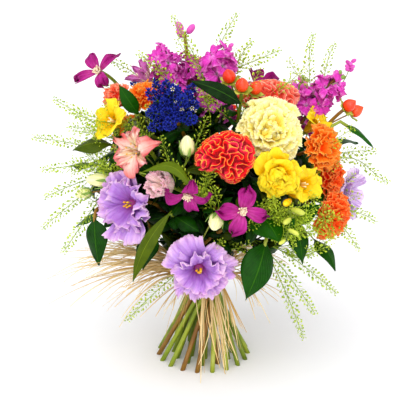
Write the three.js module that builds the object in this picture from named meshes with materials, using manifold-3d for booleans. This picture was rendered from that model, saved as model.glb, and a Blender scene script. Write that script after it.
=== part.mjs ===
// A hand-tied mixed bouquet, in millimetres, +Z up. It stands by itself on the spiral of its own cut stems,
// which a raffia tie draws together at the waist. Above the waist the stems fan out into a round head of
// lisianthus, carnations, cockscomb, freesia, clematis, stock, statice, hypericum, pennycress and leaves.
// The origin is on the surface it stands on, at the cut end of the middle stem. Its front looks along -Y.
import * as THREE from "three";
import { mergeVertices } from "three/addons/utils/BufferGeometryUtils.js";
import Module from "manifold-3d";

const wasm = await Module();
wasm.setup();

// Driving dimensions
const WAIST_HEIGHT = 100; // the tie's mid height above the surface
const SLOT_PITCH = 5.4; // from one stem's middle to the next one's, inside the tie
const RINGS = [1, 6, 12, 19]; // stems in each ring of the bundle, from the middle outwards
const FOOT_SPREAD = 3.4; // how much wider the bundle is at its cut ends than at the tie
const SPIRAL_LEAD = 64; // degrees that a head stands ahead of its own stem's slot in the tie
const TIE_BORE = 19.5; // the tie's inner radius
const TIE_WALL = 2.6;
const TIE_HEIGHT = 11;
const SHOULDER_HEIGHT = 115; // up to here every stem is straight
const COLLAR_HEIGHT = 5; // the band of raffia above the tie, which the loose strands leave
const STRAND_RADIUS = 1;
const GAP = 0.3; // between two pieces that rest on each other
const PETAL_THICK = 1;
const LEAF_THICK = 0.9;
const STEM_RADIUS = 2.5; // of a cut stem, as of the two below, out to its corners
const BRANCH_RADIUS = 1.7; // of a side stem that carries a bloom
const TWIG_RADIUS = 1.2; // of one that carries a bud, a berry or a leaf
const STEM_SIDES = 5;
const STEM_STEPS = 5;
const TWIG_SIDES = 3;
const TWIG_STEPS = 3;
const CALYX_FLARE = 1.7; // how much a stem widens under its bloom
const FOLDS = 8; // ridges of a cockscomb from its foot to its crest
const SEAT = 4.2; // the radius of a bloom's flat foot
const SPIKE_LENGTH = 74; // the part of a stock's spike that bears florets
const SPRAY_RADIUS = 1;
const BARE_SHARE = 0.46; // the part of a pennycress twig that bears no pods
const POD_LENGTH = 5.5; // a pennycress pod on its stalk
const PODS = 5; // on each twig
const GOLDEN_ANGLE = 137.5; // degrees from one floret to the next round a spike

const COLOURS = {
  lisianthus: 0xa47fd6,
  blush: 0xe0b9c4,
  cockscomb: 0xe8281c,
  coral: 0xf2604a,
  lemon: 0xf8e98e,
  orange: 0xff6a1f,
  scarlet: 0xf5330f,
  yellow: 0xffd60a,
  pink: 0xf28a92,
  magenta: 0xb3128c,
  stock: 0xcf2bc0,
  statice: 0x1b2f9c,
  berry: 0xe2381d,
  leaf: 0x1f5a1c,
  stem: 0x8fa52a,
  pennycress: 0xa6c43c,
  raffia: 0xe2c78c,
};

const UP = new THREE.Vector3(0, 0, 1);
const vector = (point) => new THREE.Vector3(...point);
const degrees = THREE.MathUtils.degToRad;

// A small repeatable source of random numbers, from 0 to 1.
function seeded(seed) {
  let state = seed;
  return () => {
    state = (state * 1664525 + 1013904223) % 4294967296;
    return state / 4294967296;
  };
}

// The direction that a bloom looks in: yaw 0 is the front, 90 the right, and pitch is above the horizon.
function facing({ yaw, pitch }) {
  const [y, p] = [degrees(yaw), degrees(pitch)];
  return new THREE.Vector3(Math.sin(y) * Math.cos(p), -Math.cos(y) * Math.cos(p), Math.sin(p));
}

// The place of a piece whose own +Z points along direction, turned by spin degrees about it.
function placeAt(point, direction, spin = 0) {
  const turn = new THREE.Quaternion().setFromUnitVectors(UP, direction.clone().normalize());
  turn.multiply(new THREE.Quaternion().setFromAxisAngle(UP, degrees(spin)));
  return new THREE.Matrix4().compose(point, turn, new THREE.Vector3(1, 1, 1));
}

// Solids

// Closed geometry as a solid: equal corners are merged, and faces that a pinched edge collapses are dropped.
function solidOf(geometry) {
  const bare = geometry.index ? geometry.toNonIndexed() : geometry.clone();
  bare.deleteAttribute("normal");
  bare.deleteAttribute("uv");
  const merged = mergeVertices(bare, 1e-3);
  const index = merged.index.array;
  const corners = [];
  for (let i = 0; i < index.length; i += 3) {
    const [a, b, c] = [index[i], index[i + 1], index[i + 2]];
    if (a !== b && b !== c && c !== a) corners.push(a, b, c);
  }
  const vertProperties = merged.attributes.position.array;
  return new wasm.Manifold(new wasm.Mesh({ numProp: 3, vertProperties, triVerts: new Uint32Array(corners) }));
}

function geometryOf(solid) {
  const mesh = solid.getMesh();
  const corners = new Float32Array(mesh.numVert * 3);
  for (let i = 0; i < mesh.numVert; i++) {
    corners.set(mesh.vertProperties.subarray(i * mesh.numProp, i * mesh.numProp + 3), i * 3);
  }
  const geometry = new THREE.BufferGeometry();
  geometry.setAttribute("position", new THREE.BufferAttribute(corners, 3));
  geometry.setIndex(new THREE.BufferAttribute(mesh.triVerts, 1));
  const faceted = geometry.toNonIndexed();
  faceted.computeVertexNormals();
  return faceted;
}

function largestBody(solid) {
  const bodies = solid.decompose();
  return bodies.length ? bodies.reduce((best, body) => (body.volume() > best.volume() ? body : best)) : solid;
}

// Solids fused into one. A hollow that the fusing seals is filled, and a loose scrap is dropped.
const fused = (solids) => largestBody(solids.reduce((whole, solid) => whole.add(solid)));

// Moves each corner of a geometry by a function of its place.
function reshaped(geometry, move) {
  const at = geometry.attributes.position;
  const point = new THREE.Vector3();
  for (let i = 0; i < at.count; i++) {
    point.fromBufferAttribute(at, i);
    move(point);
    at.setXYZ(i, point.x, point.y, point.z);
  }
  return geometry;
}

// A round body about +Z, from a list of radius and height pairs that starts and ends on the axis.
function turned(pairs, segments) {
  const profile = pairs.map(([radius, height]) => new THREE.Vector2(radius, height));
  return new THREE.LatheGeometry(profile, segments).rotateX(Math.PI / 2);
}

// The angle of a corner about +Z, from where a turned body starts, and which of its segments that is.
const angleOf = (point) => Math.atan2(point.x, -point.y);
const sector = (point, count) => Math.round((angleOf(point) / (2 * Math.PI)) * count + count);

// Blades: petals and leaves

// A box of cells with both faces split into triangles along the same diagonals, so that they never cross.
function cells(columns, rows) {
  const box = new THREE.BoxGeometry(2, 1, 1, columns, rows, 1);
  const { start, count } = box.groups[5];
  for (let i = start; i < start + count; i += 6) {
    const [a, b, c, d] = [0, 1, 4, 5].map((k) => box.index.getX(i + k));
    [a, b, c, a, c, d].forEach((corner, k) => box.index.setX(i + k, corner));
  }
  return box;
}

// A thin blade on a curved sheet. sheet(across, along) gives the middle of the blade, for across from -1 to 1
// and along from 0 to 1.
function blade(sheet, thickness, columns, rows) {
  const step = 0.02;
  return reshaped(cells(columns, rows), (point) => {
    const [across, along, side] = [point.x, point.y + 0.5, point.z];
    const atEnd = along < 1e-6 || along > 1 - 1e-6;
    const u = atEnd ? 0 : THREE.MathUtils.clamp(across, step - 1, 1 - step);
    const v = THREE.MathUtils.clamp(along, 0.06, 0.94);
    const sideways = sheet(u + step, v).sub(sheet(u - step, v));
    const forward = sheet(u, v + step).sub(sheet(u, v - step));
    const normal = sideways.cross(forward).normalize();
    point.copy(sheet(across, along)).addScaledVector(normal, side * thickness);
  });
}

// A value read along a row of evenly spaced ones.
function readRow(values, share) {
  const place = THREE.MathUtils.clamp(share, 0, 1) * (values.length - 1);
  const low = Math.min(Math.floor(place), values.length - 2);
  return THREE.MathUtils.lerp(values[low], values[low + 1], place - low);
}

// A leaf from base to tip, pointed at both, folded a little along its midrib and arched. It faces along look.
function leafBlade({ base, tip, width, look }, grow = 0) {
  const [from, to] = [vector(base), vector(tip)];
  const length = to.distanceTo(from);
  const ahead = to.clone().sub(from).normalize();
  const side = new THREE.Vector3().crossVectors(ahead, vector(look)).normalize();
  const out = new THREE.Vector3().crossVectors(side, ahead).normalize();
  const widths = [0, 0.85, 1, 0];
  const sheet = (across, along) => {
    const half = (width / 2 + grow) * readRow(widths, along);
    const arch = length * 0.1 * Math.sin(Math.PI * along) - Math.abs(across) * half * 0.3;
    return from.clone().addScaledVector(ahead, along * length).addScaledVector(out, arch)
      .addScaledVector(side, across * half);
  };
  return solidOf(blade(sheet, LEAF_THICK + 2 * grow, 2, 3));
}

// Flower heads: each stands on +Z with its foot at the origin. reach is its radius and depth its height.

// Splits the cells of a turned cup past its rim the other way, so that its inner wall has the same diagonals
// as the outer one and the two never cross. A cup has rows cells from its foot round to its floor.
function splitAlike(cup, segments, rows, rim) {
  for (let cell = 0; cell < segments * rows; cell++) {
    if (cell % rows < rim) continue;
    const [a, b, d, c] = [0, 1, 2, 3].map((k) => cup.index.getX(cell * 6 + k));
    [a, b, c, a, c, d].forEach((corner, k) => cup.index.setX(cell * 6 + k, corner));
  }
  return cup;
}

// A corolla: petals joined at their foot in a thin-walled cup. outside is the wall from the foot to the rim,
// as radius and height, and floor is the height of the cup's inner bottom. Between one petal and the next the
// rim is drawn in by notch, and blunt says how square the petals' ends are. Every second petal may be short.
// A petal has as many facets round as steps says: three for a blunt one, four for a pointed one.
function corolla(shape) {
  const { outside, floor, petals, notch, blunt = 1, second = 1, steps = 3 } = shape;
  const { turn = 0, wave = 0, tilt = 0 } = shape;
  const reach = outside.at(-1)[0];
  const wall = PETAL_THICK * 0.8;
  const inside = outside.slice(1, -1).reverse().map(([radius, height]) => [radius - wall, height + wall]);
  const [rim, height] = outside.at(-1);
  const wallLine = [[0, outside[0][1]], ...outside, [rim, height + PETAL_THICK], ...inside, [0, floor]];
  const round = turned(wallLine, petals * steps);
  const cup = splitAlike(round, petals * steps, wallLine.length - 1, outside.length + 1);
  return solidOf(
    reshaped(cup, (point) => {
      const angle = angleOf(point);
      const share = THREE.MathUtils.clamp((Math.hypot(point.x, point.y) / reach - 0.25) / 0.75, 0, 1);
      const lobe = Math.abs(Math.sin((petals * angle) / 2)) ** blunt;
      const odd = Math.floor((angle * petals) / (2 * Math.PI) + 0.01) % 2;
      const pull = (1 - notch * share * (1 - lobe)) * (odd ? 1 - (1 - second) * share : 1);
      const lift = tilt * Math.sin(petals * angle) + wave * Math.sin(3 * angle + 1);
      point.set(point.x * pull, point.y * pull, point.z + lift * share);
    }).rotateZ(degrees(turn)),
  );
}

// Lisianthus: a bell of five broad ruffled petals, and a smaller one set in it.
function lisianthus({ reach, depth }) {
  const outside = [[SEAT, 0], [reach * 0.5, depth * 0.6], [reach, depth * 0.78]];
  const inside = [[2, depth * 0.12], [reach * 0.24, depth * 0.7], [reach * 0.6, depth * 0.96]];
  const bell = { petals: 5, blunt: 0.6 };
  return fused([
    corolla({ ...bell, outside, floor: depth * 0.2, notch: 0.34, wave: 1.6, tilt: 2.6 }),
    corolla({ ...bell, outside: inside, floor: depth * 0.4, notch: 0.4, turn: 36, wave: 1.2, tilt: 2 }),
  ]);
}

// Carnation: frilled tiers of petals one above the other, with their edges cut in teeth.
function carnation({ reach, depth, teeth = 8 }) {
  const tiers = [
    [0, 0], [SEAT, 0], [reach, depth * 0.5], [reach * 0.62, depth * 0.6], [reach * 0.82, depth * 0.84],
    [reach * 0.36, depth * 0.8], [reach * 0.44, depth], [0, depth * 0.86],
  ];
  const rims = [tiers[2], tiers[4], tiers[6]];
  return solidOf(
    reshaped(turned(tiers, teeth * 2), (point) => {
      const radius = Math.hypot(point.x, point.y);
      const rim = rims.findIndex(([r, z]) => Math.abs(r - radius) < 1e-3 && Math.abs(z - point.z) < 1e-3);
      if (rim < 0) return;
      const cut = (sector(point, teeth * 2) + rim) % 2 ? 0 : 1;
      const pull = 1 - 0.16 * cut;
      point.set(point.x * pull, point.y * pull, point.z + depth * (0.05 - 0.1 * cut));
    }),
  );
}

// Cockscomb: a thick crest folded on itself like a brain, on a wedge that narrows to the stem.
function cockscomb({ reach, depth, across = 0.85 }) {
  const body = new THREE.SphereGeometry(1, FOLDS * 2, FOLDS).rotateX(Math.PI / 2);
  return solidOf(
    reshaped(body, (point) => {
      const crest = THREE.MathUtils.clamp(point.z * 2 + 1, 0, 1);
      const ring = Math.round(Math.acos(THREE.MathUtils.clamp(point.z, -1, 1)) / (Math.PI / FOLDS));
      const fold = (sector(point, FOLDS * 2) + ring) % 2 ? 1 : -1;
      const swell = 1 + 0.1 * fold * crest;
      const narrow = point.z < -0.2 ? 0.2 + (1 + point.z) : 1;
      const spread = reach * swell * narrow;
      point.set(point.x * spread, point.y * spread * across, depth * (0.5 + 0.5 * point.z * swell));
    }),
  );
}

// Freesia: a funnel with six rounded petals, three of them a little shorter.
const freesia = ({ reach, depth }) =>
  corolla({
    outside: [[SEAT, 0], [reach * 0.4, depth * 0.6], [reach, depth * 0.94]],
    floor: depth * 0.3, petals: 6, notch: 0.42, blunt: 0.6, second: 0.86, tilt: 1,
  });

// Double freesia: a second funnel inside the first.
function doubleFreesia({ reach, depth }) {
  const inner = [[2, depth * 0.12], [reach * 0.3, depth * 0.78], [reach * 0.62, depth]];
  return fused([
    corolla({
      outside: [[SEAT, 0], [reach * 0.46, depth * 0.5], [reach, depth * 0.76]],
      floor: depth * 0.2, petals: 5, notch: 0.36, blunt: 0.6, tilt: 1.6,
    }),
    corolla({ outside: inner, floor: depth * 0.4, petals: 4, notch: 0.36, blunt: 0.6, turn: 20, tilt: 1.6 }),
  ]);
}

// Alstroemeria: six petals cut nearly to the foot, three wide and three shorter.
const alstroemeria = ({ reach, depth }) =>
  corolla({
    outside: [[SEAT, 0], [reach * 0.42, depth * 0.56], [reach, depth * 0.92]],
    floor: depth * 0.24, petals: 6, notch: 0.66, blunt: 0.8, second: 0.82, tilt: 1.4, steps: 4,
  });

// Clematis: four long pointed petals, and a tuft of stamens in the middle.
function clematis({ reach, depth }) {
  const tuft = turned([[0, 2], [3, depth * 0.5], [6, depth * 1.1], [0, depth]], 6);
  return fused([
    corolla({
      outside: [[SEAT * 0.8, 0], [reach * 0.5, depth * 0.55], [reach, depth * 0.7]],
      floor: depth * 0.25, petals: 4, notch: 0.7, blunt: 1.2, second: 0.9, tilt: 1, steps: 4,
    }),
    solidOf(tuft),
  ]);
}

// A closed bud, its petals rolled to a blunt point.
const bud = ({ reach, depth }) =>
  solidOf(turned([[0, 0], [reach * 0.8, depth * 0.15], [reach, depth * 0.5], [0, depth]], 6));

// A hypericum berry.
const berry = ({ reach, depth }) =>
  solidOf(turned([[0, 0], [reach, depth * 0.35], [reach * 0.8, depth * 0.75], [0, depth]], 6));

const BLOOMS = { lisianthus, carnation, cockscomb, freesia, doubleFreesia, alstroemeria, clematis };
const HEADS = { ...BLOOMS, bud, berry };

// The room that a head takes up, which nothing else of the bunch enters.
function roomOf(shoot) {
  const [reach, depth] = [shoot.reach * 1.08, shoot.depth];
  const front = depth * 1.12;
  const room = turned([[0, GAP / 2], [SEAT, GAP / 2], [reach, depth * 0.45], [reach, front], [0, front]], 12);
  return solidOf(room.applyMatrix4(placeAt(footOf(shoot), facing(shoot))));
}

// The room of a spike of florets, which ends where the shoot does.
function spikeRoomOf({ at, size, ...shoot }) {
  const room = turned([[0, -SPIKE_LENGTH], [size, 2 - SPIKE_LENGTH], [size, 4], [0, 6]], 8);
  return solidOf(room.applyMatrix4(placeAt(vector(at), facing(shoot))));
}

// A head's foot, behind the middle of its face. A piece that is no head ends where it is placed.
function footOf(shoot) {
  return vector(shoot.at).addScaledVector(facing(shoot), HEADS[shoot.bears] ? -shoot.depth : 0);
}

// Small repeats that grow along a stem, made on +Z with their roots below it

// A four-lobed floret of stock, on a short stalk.
function floret(size) {
  return turned([[0, -7], [size, 0], [0, 1.5]], 4);
}

// A knob of statice: a short spike of papery cups.
function knob(length, width) {
  const cups = turned([[0, -4], [width * 0.5, length * 0.4], [width * 0.34, length * 0.55], [0, length]], 6);
  return reshaped(cups, (point) => {
    if (sector(point, 6) % 2) point.set(point.x * 0.66, point.y * 0.66, point.z + 1);
  });
}

// Stems and twigs

// A tube along a curve. A flared one widens at its end, as a stem does under its bloom.
function tube(path, radius, steps, sides, flare = 1) {
  const end = path.getPointAt(1);
  const corners = Array.from({ length: sides }, (_, i) => {
    const angle = (2 * Math.PI * i) / sides;
    return new THREE.Vector2(radius * Math.cos(angle), radius * Math.sin(angle));
  });
  const section = new THREE.Shape(corners);
  const extruded = new THREE.ExtrudeGeometry(section, { steps, extrudePath: path, bevelEnabled: false });
  return solidOf(
    reshaped(extruded, (point) => {
      if (point.distanceTo(end) < radius * 1.05) point.sub(end).multiplyScalar(flare).add(end);
    }),
  );
}

// A spray of pennycress: a thin twig whose outer half bears flat pods, drawn out of its three edges in turn.
function sprayOf(path, grow = 0) {
  const bare = 2;
  const steps = bare + PODS * 2;
  const frames = path.computeFrenetFrames(steps, false);
  const prism = new THREE.CylinderGeometry(1, 1, 1, 3, steps);
  return solidOf(
    reshaped(prism, (point) => {
      const step = Math.round((point.y + 0.5) * steps);
      const turn = Math.atan2(point.x, point.z);
      const off = Math.hypot(point.x, point.z);
      const share = step < bare ? step / bare : (step - bare) / (steps - bare);
      const t = step < bare ? BARE_SHARE * share : BARE_SHARE + (1 - BARE_SHARE) * share;
      const edge = Math.round((turn / (2 * Math.PI)) * 3 + 3) % 3;
      const isPod = step >= bare && (step - bare) % 2 && edge === ((step - bare - 1) / 2) % 3;
      const place = Math.min(Math.round(t * steps), steps);
      const out = frames.normals[place].clone().multiplyScalar(Math.cos(turn));
      out.addScaledVector(frames.binormals[place], Math.sin(turn));
      const reach = off * (SPRAY_RADIUS * (1 - 0.3 * t) + grow + (isPod ? POD_LENGTH : 0));
      point.copy(path.getPointAt(t)).addScaledVector(out, reach);
      if (isPod) point.addScaledVector(path.getTangentAt(t), POD_LENGTH * 0.6);
    }),
  );
}

const ground = solidOf(new THREE.BoxGeometry(600, 600, 60).translate(0, 0, -30));

// Where a stem meets the surface, crosses the tie and starts to bend: all on one line, with the slant that
// the stems of a spiral have.
function slotLine({ radius, angle }) {
  const swing = Math.acos(1 / FOOT_SPREAD);
  const waist = new THREE.Vector3(radius * Math.cos(angle), radius * Math.sin(angle), WAIST_HEIGHT);
  const spread = radius * FOOT_SPREAD;
  const foot = new THREE.Vector3(spread * Math.cos(angle - swing), spread * Math.sin(angle - swing), 0);
  const shoulder = foot.clone().lerp(waist, SHOULDER_HEIGHT / WAIST_HEIGHT);
  return { waist, foot, shoulder };
}

// A smooth bend drawn towards each of its points in turn, from the first to the last.
class Bend extends THREE.Curve {
  constructor(points) {
    super();
    this.points = points;
  }

  getPoint(t, target = new THREE.Vector3()) {
    let row = this.points.map((point) => point.clone());
    while (row.length > 1) row = row.slice(1).map((point, i) => row[i].lerp(point, t));
    return target.copy(row[0]);
  }
}

// A bend that leaves its start along one direction and arrives at its end along another, with its middle
// swung aside by sway.
function bend(start, leave, end, arrive, rise, settle, sway) {
  const span = end.distanceTo(start);
  const near = start.clone().addScaledVector(leave, span * rise);
  const far = end.clone().addScaledVector(arrive, -span * settle);
  const middle = near.clone().lerp(far, 0.5).addScaledVector(sway, span * 1.6);
  return new Bend([start, near, middle, far, end]);
}

// A whole stem: its first step is straight, from below its cut to above the tie. Then it bends to its head.
class StemLine extends THREE.Curve {
  constructor(slot, upper) {
    super();
    this.low = slot.foot.clone().lerp(slot.waist, -0.06);
    this.upper = upper;
    this.share = 1 / STEM_STEPS;
  }

  getPoint(t, target = new THREE.Vector3()) {
    if (t < this.share) return target.lerpVectors(this.low, this.upper.points[0], t / this.share);
    return target.copy(this.upper.getPointAt((t - this.share) / (1 - this.share)));
  }

  getPointAt(t, target) {
    return this.getPoint(t, target);
  }

  getTangentAt(t, target) {
    return this.getTangent(t, target);
  }
}

// A direction square to another, turned about it.
function squareTo(direction, turn) {
  const other = Math.abs(direction.z) > 0.8 ? new THREE.Vector3(1, 0, 0) : UP;
  const square = new THREE.Vector3().crossVectors(direction, other).normalize();
  return square.applyAxisAngle(direction, degrees(turn));
}

// The bunch so far: each solid is kept a little fatter than it is, so what comes later stays clear of it.
const bunch = [];
const boxesMeet = (a, b) => [0, 1, 2].every((i) => a.min[i] <= b.max[i] && b.min[i] <= a.max[i]);

function keep(solid, owner) {
  bunch.push({ solid, owner, box: solid.boundingBox() });
}

function nearby(solid, owner) {
  const box = solid.boundingBox();
  return bunch.filter((other) => other.owner !== owner && boxesMeet(box, other.box));
}

const clash = (solid, owner) =>
  nearby(solid, owner).reduce((sum, other) => sum + solid.intersect(other.solid).volume(), 0);

// Cuts away what would reach into a neighbour, and drops the scraps.
function trimmed(solid, owner) {
  const others = nearby(solid, owner);
  if (!others.length) return solid;
  return largestBody(others.reduce((left, other) => left.subtract(other.solid), solid));
}

// Tries bends in turn until one runs clear of the bunch, and keeps the clearest.
function laidClear(owner, tries, make) {
  let best = { clash: Infinity };
  for (let i = 0; i < tries && best.clash > 1e-3; i++) {
    const solid = make(i, 0);
    const amount = clash(solid, owner);
    if (amount < best.clash) best = { clash: amount, solid, choice: i };
  }
  keep(make(best.choice, GAP), owner);
  return { solid: best.clash > 1e-3 ? trimmed(best.solid, owner) : best.solid, choice: best.choice };
}

// The sideways swing of each try: none at first, then wider and wider.
function swayOf(seed, i, widest) {
  const random = seeded(seed * 7919 + i * 104729);
  const amount = widest * Math.min(1, i / 24);
  return new THREE.Vector3(random() - 0.5, random() - 0.5, (random() - 0.5) * 0.5).multiplyScalar(2 * amount);
}

// The plants of the bunch, each one cut stem through the tie. Its first shoot is the stem itself and the
// others leave the stem at a share of its length. A shoot ends at the middle of what it bears, which looks
// along yaw and pitch. What has a name of its own is a piece apart, seated on the end of its shoot.
const PLANTS = [
  {
    name: "cockscomb_front", colour: "cockscomb",
    shoots: [
      {
        bears: "cockscomb",
        at: [23, -126, 284], yaw: 2, pitch: 16, spin: 28, reach: 32, depth: 40,
      },
    ],
  },
  {
    name: "cockscomb_coral", colour: "coral",
    shoots: [
      {
        bears: "cockscomb",
        at: [76, -14, 342], yaw: 12, pitch: 66, reach: 36, depth: 34, across: 0.6,
      },
    ],
  },
  {
    name: "cockscomb_back", colour: "cockscomb",
    shoots: [
      {
        bears: "cockscomb",
        at: [14, 128, 290], yaw: 176, pitch: 26, spin: 20, reach: 32, depth: 40,
      },
    ],
  },
  {
    name: "lisianthus_stem_left", colour: "stem",
    shoots: [
      {
        name: "lisianthus_left", colour: "lisianthus", bears: "lisianthus",
        at: [-90, -88, 220], yaw: -32, pitch: 8, spin: 20, reach: 37, depth: 32,
      },
      { from: 0.55, bears: "bud", at: [-133, -58, 242], yaw: -84, pitch: 4, reach: 8, depth: 28 },
      { from: 0.5, bears: "bud", at: [-148, -46, 220], yaw: -84, pitch: -8, reach: 6, depth: 20 },
    ],
  },
  {
    name: "lisianthus_stem_front", colour: "stem",
    shoots: [
      {
        name: "lisianthus_front", colour: "lisianthus", bears: "lisianthus",
        at: [-4, -122, 160], yaw: 4, pitch: 10, reach: 35, depth: 30,
      },
      { from: 0.5, bears: "bud", at: [10, -130, 206], yaw: -20, pitch: -40, reach: 8, depth: 20 },
    ],
  },
  {
    name: "lisianthus_stem_right", colour: "stem",
    shoots: [
      {
        name: "lisianthus_right", colour: "lisianthus", bears: "lisianthus",
        at: [186, 6, 210], yaw: 80, pitch: -2, spin: 10, reach: 28, depth: 34,
      },
    ],
  },
  {
    name: "lisianthus_stem_blush", colour: "stem",
    shoots: [
      {
        name: "lisianthus_blush", colour: "blush", bears: "lisianthus",
        at: [-52, -110, 254], yaw: -42, pitch: 24, reach: 15, depth: 26,
      },
      { from: 0.6, bears: "bud", at: [-18, -106, 304], yaw: -4, pitch: 74, reach: 8, depth: 24 },
    ],
  },
  {
    name: "lisianthus_stem_back", colour: "stem",
    shoots: [
      {
        name: "lisianthus_back", colour: "lisianthus", bears: "lisianthus",
        at: [-30, 142, 214], yaw: 190, pitch: 4, reach: 36, depth: 32,
      },
    ],
  },
  {
    name: "carnation_stem_lemon", colour: "stem",
    shoots: [
      {
        name: "carnation_lemon", colour: "lemon", bears: "carnation",
        at: [76, -84, 306], yaw: 14, pitch: 24, reach: 35, depth: 38, teeth: 10,
      },
    ],
  },
  {
    name: "carnation_stem_right", colour: "stem",
    shoots: [
      {
        name: "carnation_orange_upper", colour: "orange", bears: "carnation",
        at: [140, -62, 283], yaw: 40, pitch: 22, reach: 25, depth: 28,
      },
      {
        from: 0.5, name: "carnation_orange_lower", colour: "orange", bears: "carnation",
        at: [152, -78, 202], yaw: 42, pitch: -4, reach: 26, depth: 28,
      },
      {
        from: 0.56, name: "carnation_scarlet", colour: "scarlet", bears: "carnation",
        at: [156, -38, 238], yaw: 62, pitch: 4, reach: 20, depth: 26, teeth: 7,
      },
    ],
  },
  {
    name: "carnation_stem_left", colour: "stem",
    shoots: [
      {
        name: "carnation_orange_left", colour: "orange", bears: "carnation",
        at: [-70, -45, 341], yaw: -26, pitch: 50, reach: 18, depth: 26, teeth: 7,
      },
      {
        from: 0.66, name: "carnation_coral_left", colour: "coral", bears: "carnation",
        at: [-106, -26, 334], yaw: -60, pitch: 36, reach: 17, depth: 24, teeth: 7,
      },
    ],
  },
  {
    name: "carnation_stem_back", colour: "stem",
    shoots: [
      {
        name: "carnation_back_lemon", colour: "lemon", bears: "carnation",
        at: [92, 122, 262], yaw: 146, pitch: 14, reach: 30, depth: 32, teeth: 9,
      },
    ],
  },
  {
    name: "carnation_stem_back_left", colour: "stem",
    shoots: [
      {
        name: "carnation_back_orange", colour: "orange", bears: "carnation",
        at: [-100, 102, 262], yaw: 226, pitch: 16, reach: 27, depth: 28,
      },
    ],
  },
  {
    name: "freesia_stem_right", colour: "stem",
    shoots: [
      {
        name: "freesia_right", colour: "yellow", bears: "freesia",
        at: [116, -100, 248], yaw: 40, pitch: 12, reach: 19, depth: 32,
      },
      {
        from: 0.62, name: "freesia_double", colour: "yellow", bears: "doubleFreesia",
        at: [80, -118, 260], yaw: 6, pitch: -2, spin: 30, reach: 23, depth: 28,
      },
      { from: 0.56, bears: "bud", at: [110, -100, 214], yaw: 64, pitch: -8, reach: 4.5, depth: 20 },
    ],
  },
  {
    name: "freesia_stem_top", colour: "stem",
    shoots: [
      {
        name: "freesia_top", colour: "yellow", bears: "freesia",
        at: [136, -20, 306], yaw: 60, pitch: 44, spin: 20, reach: 17, depth: 30,
      },
    ],
  },
  {
    name: "freesia_stem_left", colour: "stem",
    shoots: [
      {
        name: "freesia_left", colour: "yellow", bears: "freesia",
        at: [-108, -66, 314], yaw: -46, pitch: 24, reach: 20, depth: 28,
      },
    ],
  },
  {
    name: "freesia_stem_back", colour: "stem",
    shoots: [
      {
        name: "freesia_back", colour: "yellow", bears: "freesia",
        at: [138, 84, 222], yaw: 122, pitch: 6, reach: 22, depth: 30,
      },
    ],
  },
  {
    name: "alstroemeria_stem", colour: "stem",
    shoots: [
      {
        name: "alstroemeria", colour: "pink", bears: "alstroemeria",
        at: [-80, -100, 286], yaw: -28, pitch: 12, spin: 40, reach: 27, depth: 36,
      },
      {
        from: 0.5, bears: "leaf",
        base: [-34, -124, 226], tip: [-76, -142, 152], width: 17, look: [-0.4, -1, 0.3],
      },
      {
        from: 0.6, bears: "leaf",
        base: [-66, -116, 266], tip: [-12, -132, 250], width: 13, look: [0, -1, 0.7],
      },
      {
        from: 0.7, bears: "leaf",
        base: [-100, -58, 282], tip: [-146, -60, 276], width: 24, look: [-0.2, -0.6, 1],
      },
    ],
  },
  {
    name: "statice_front", colour: "statice",
    shoots: [{ bears: "knobs", at: [-34, -82, 328], yaw: -10, pitch: 38, reach: 33, depth: 34, count: 11 }],
  },
  {
    name: "statice_back", colour: "statice",
    shoots: [{ bears: "knobs", at: [-60, 92, 316], yaw: 206, pitch: 40, reach: 30, depth: 32, count: 8 }],
  },
  {
    name: "clematis_front", colour: "magenta",
    shoots: [
      { bears: "clematis", at: [42, -136, 228], yaw: 6, pitch: 10, spin: 20, reach: 30, depth: 12 },
      {
        from: 0.6, bears: "clematis",
        at: [-18, -132, 238], yaw: -6, pitch: -34, spin: 45, reach: 26, depth: 14,
      },
    ],
  },
  {
    name: "clematis_left", colour: "magenta",
    shoots: [
      { bears: "clematis", at: [-125, 0, 357], yaw: -18, pitch: 16, spin: 30, reach: 26, depth: 12 },
      { from: 0.72, bears: "clematis", at: [-82, 6, 358], yaw: -70, pitch: 40, reach: 13, depth: 30 },
    ],
  },
  {
    name: "clematis_back", colour: "magenta",
    shoots: [{ bears: "clematis", at: [74, 116, 322], yaw: 160, pitch: 30, reach: 27, depth: 12 }],
  },
  {
    name: "stock_left", colour: "stock",
    shoots: [
      { bears: "florets", at: [-22, 18, 398], yaw: -90, pitch: 84, size: 12, count: 8 },
      { from: 0.5, bears: "florets", at: [-48, 4, 374], yaw: -90, pitch: 78, size: 12, count: 7 },
    ],
  },
  {
    name: "stock_middle", colour: "stock",
    shoots: [{ bears: "florets", at: [18, -14, 374], yaw: 40, pitch: 82, size: 12, count: 8 }],
  },
  {
    name: "stock_right", colour: "stock",
    shoots: [{ bears: "florets", at: [158, 6, 350], yaw: 90, pitch: 44, size: 12, count: 8 }],
  },
  {
    name: "stock_back", colour: "stock",
    shoots: [{ bears: "florets", at: [124, 76, 334], yaw: 130, pitch: 56, size: 12, count: 8 }],
  },
  {
    name: "hypericum_front", colour: "berry",
    shoots: [
      { bears: "berry", at: [42, -66, 356], yaw: 4, pitch: 64, reach: 6.5, depth: 14 },
      { from: 0.8, bears: "berry", at: [26, -58, 364], yaw: -30, pitch: 60, reach: 6.5, depth: 14 },
      { from: 0.76, bears: "berry", at: [60, -52, 350], yaw: 40, pitch: 56, reach: 6.5, depth: 14 },
    ],
  },
  {
    name: "hypericum_right", colour: "berry",
    shoots: [
      { bears: "berry", at: [172, -16, 322], yaw: 60, pitch: 40, reach: 6.5, depth: 14 },
      { from: 0.84, bears: "berry", at: [183, -2, 312], yaw: 80, pitch: 30, reach: 6.5, depth: 14 },
    ],
  },
  {
    name: "leaves_left", colour: "leaf",
    shoots: [
      { bears: "leaf", base: [-124, -62, 198], tip: [-119, -78, 146], width: 28, look: [-0.5, -1, 0.2] },
      {
        from: 0.5, bears: "leaf",
        base: [-112, -8, 190], tip: [-156, 8, 162], width: 30, look: [-0.3, 0, 1],
      },
      {
        from: 0.46, bears: "leaf",
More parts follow.
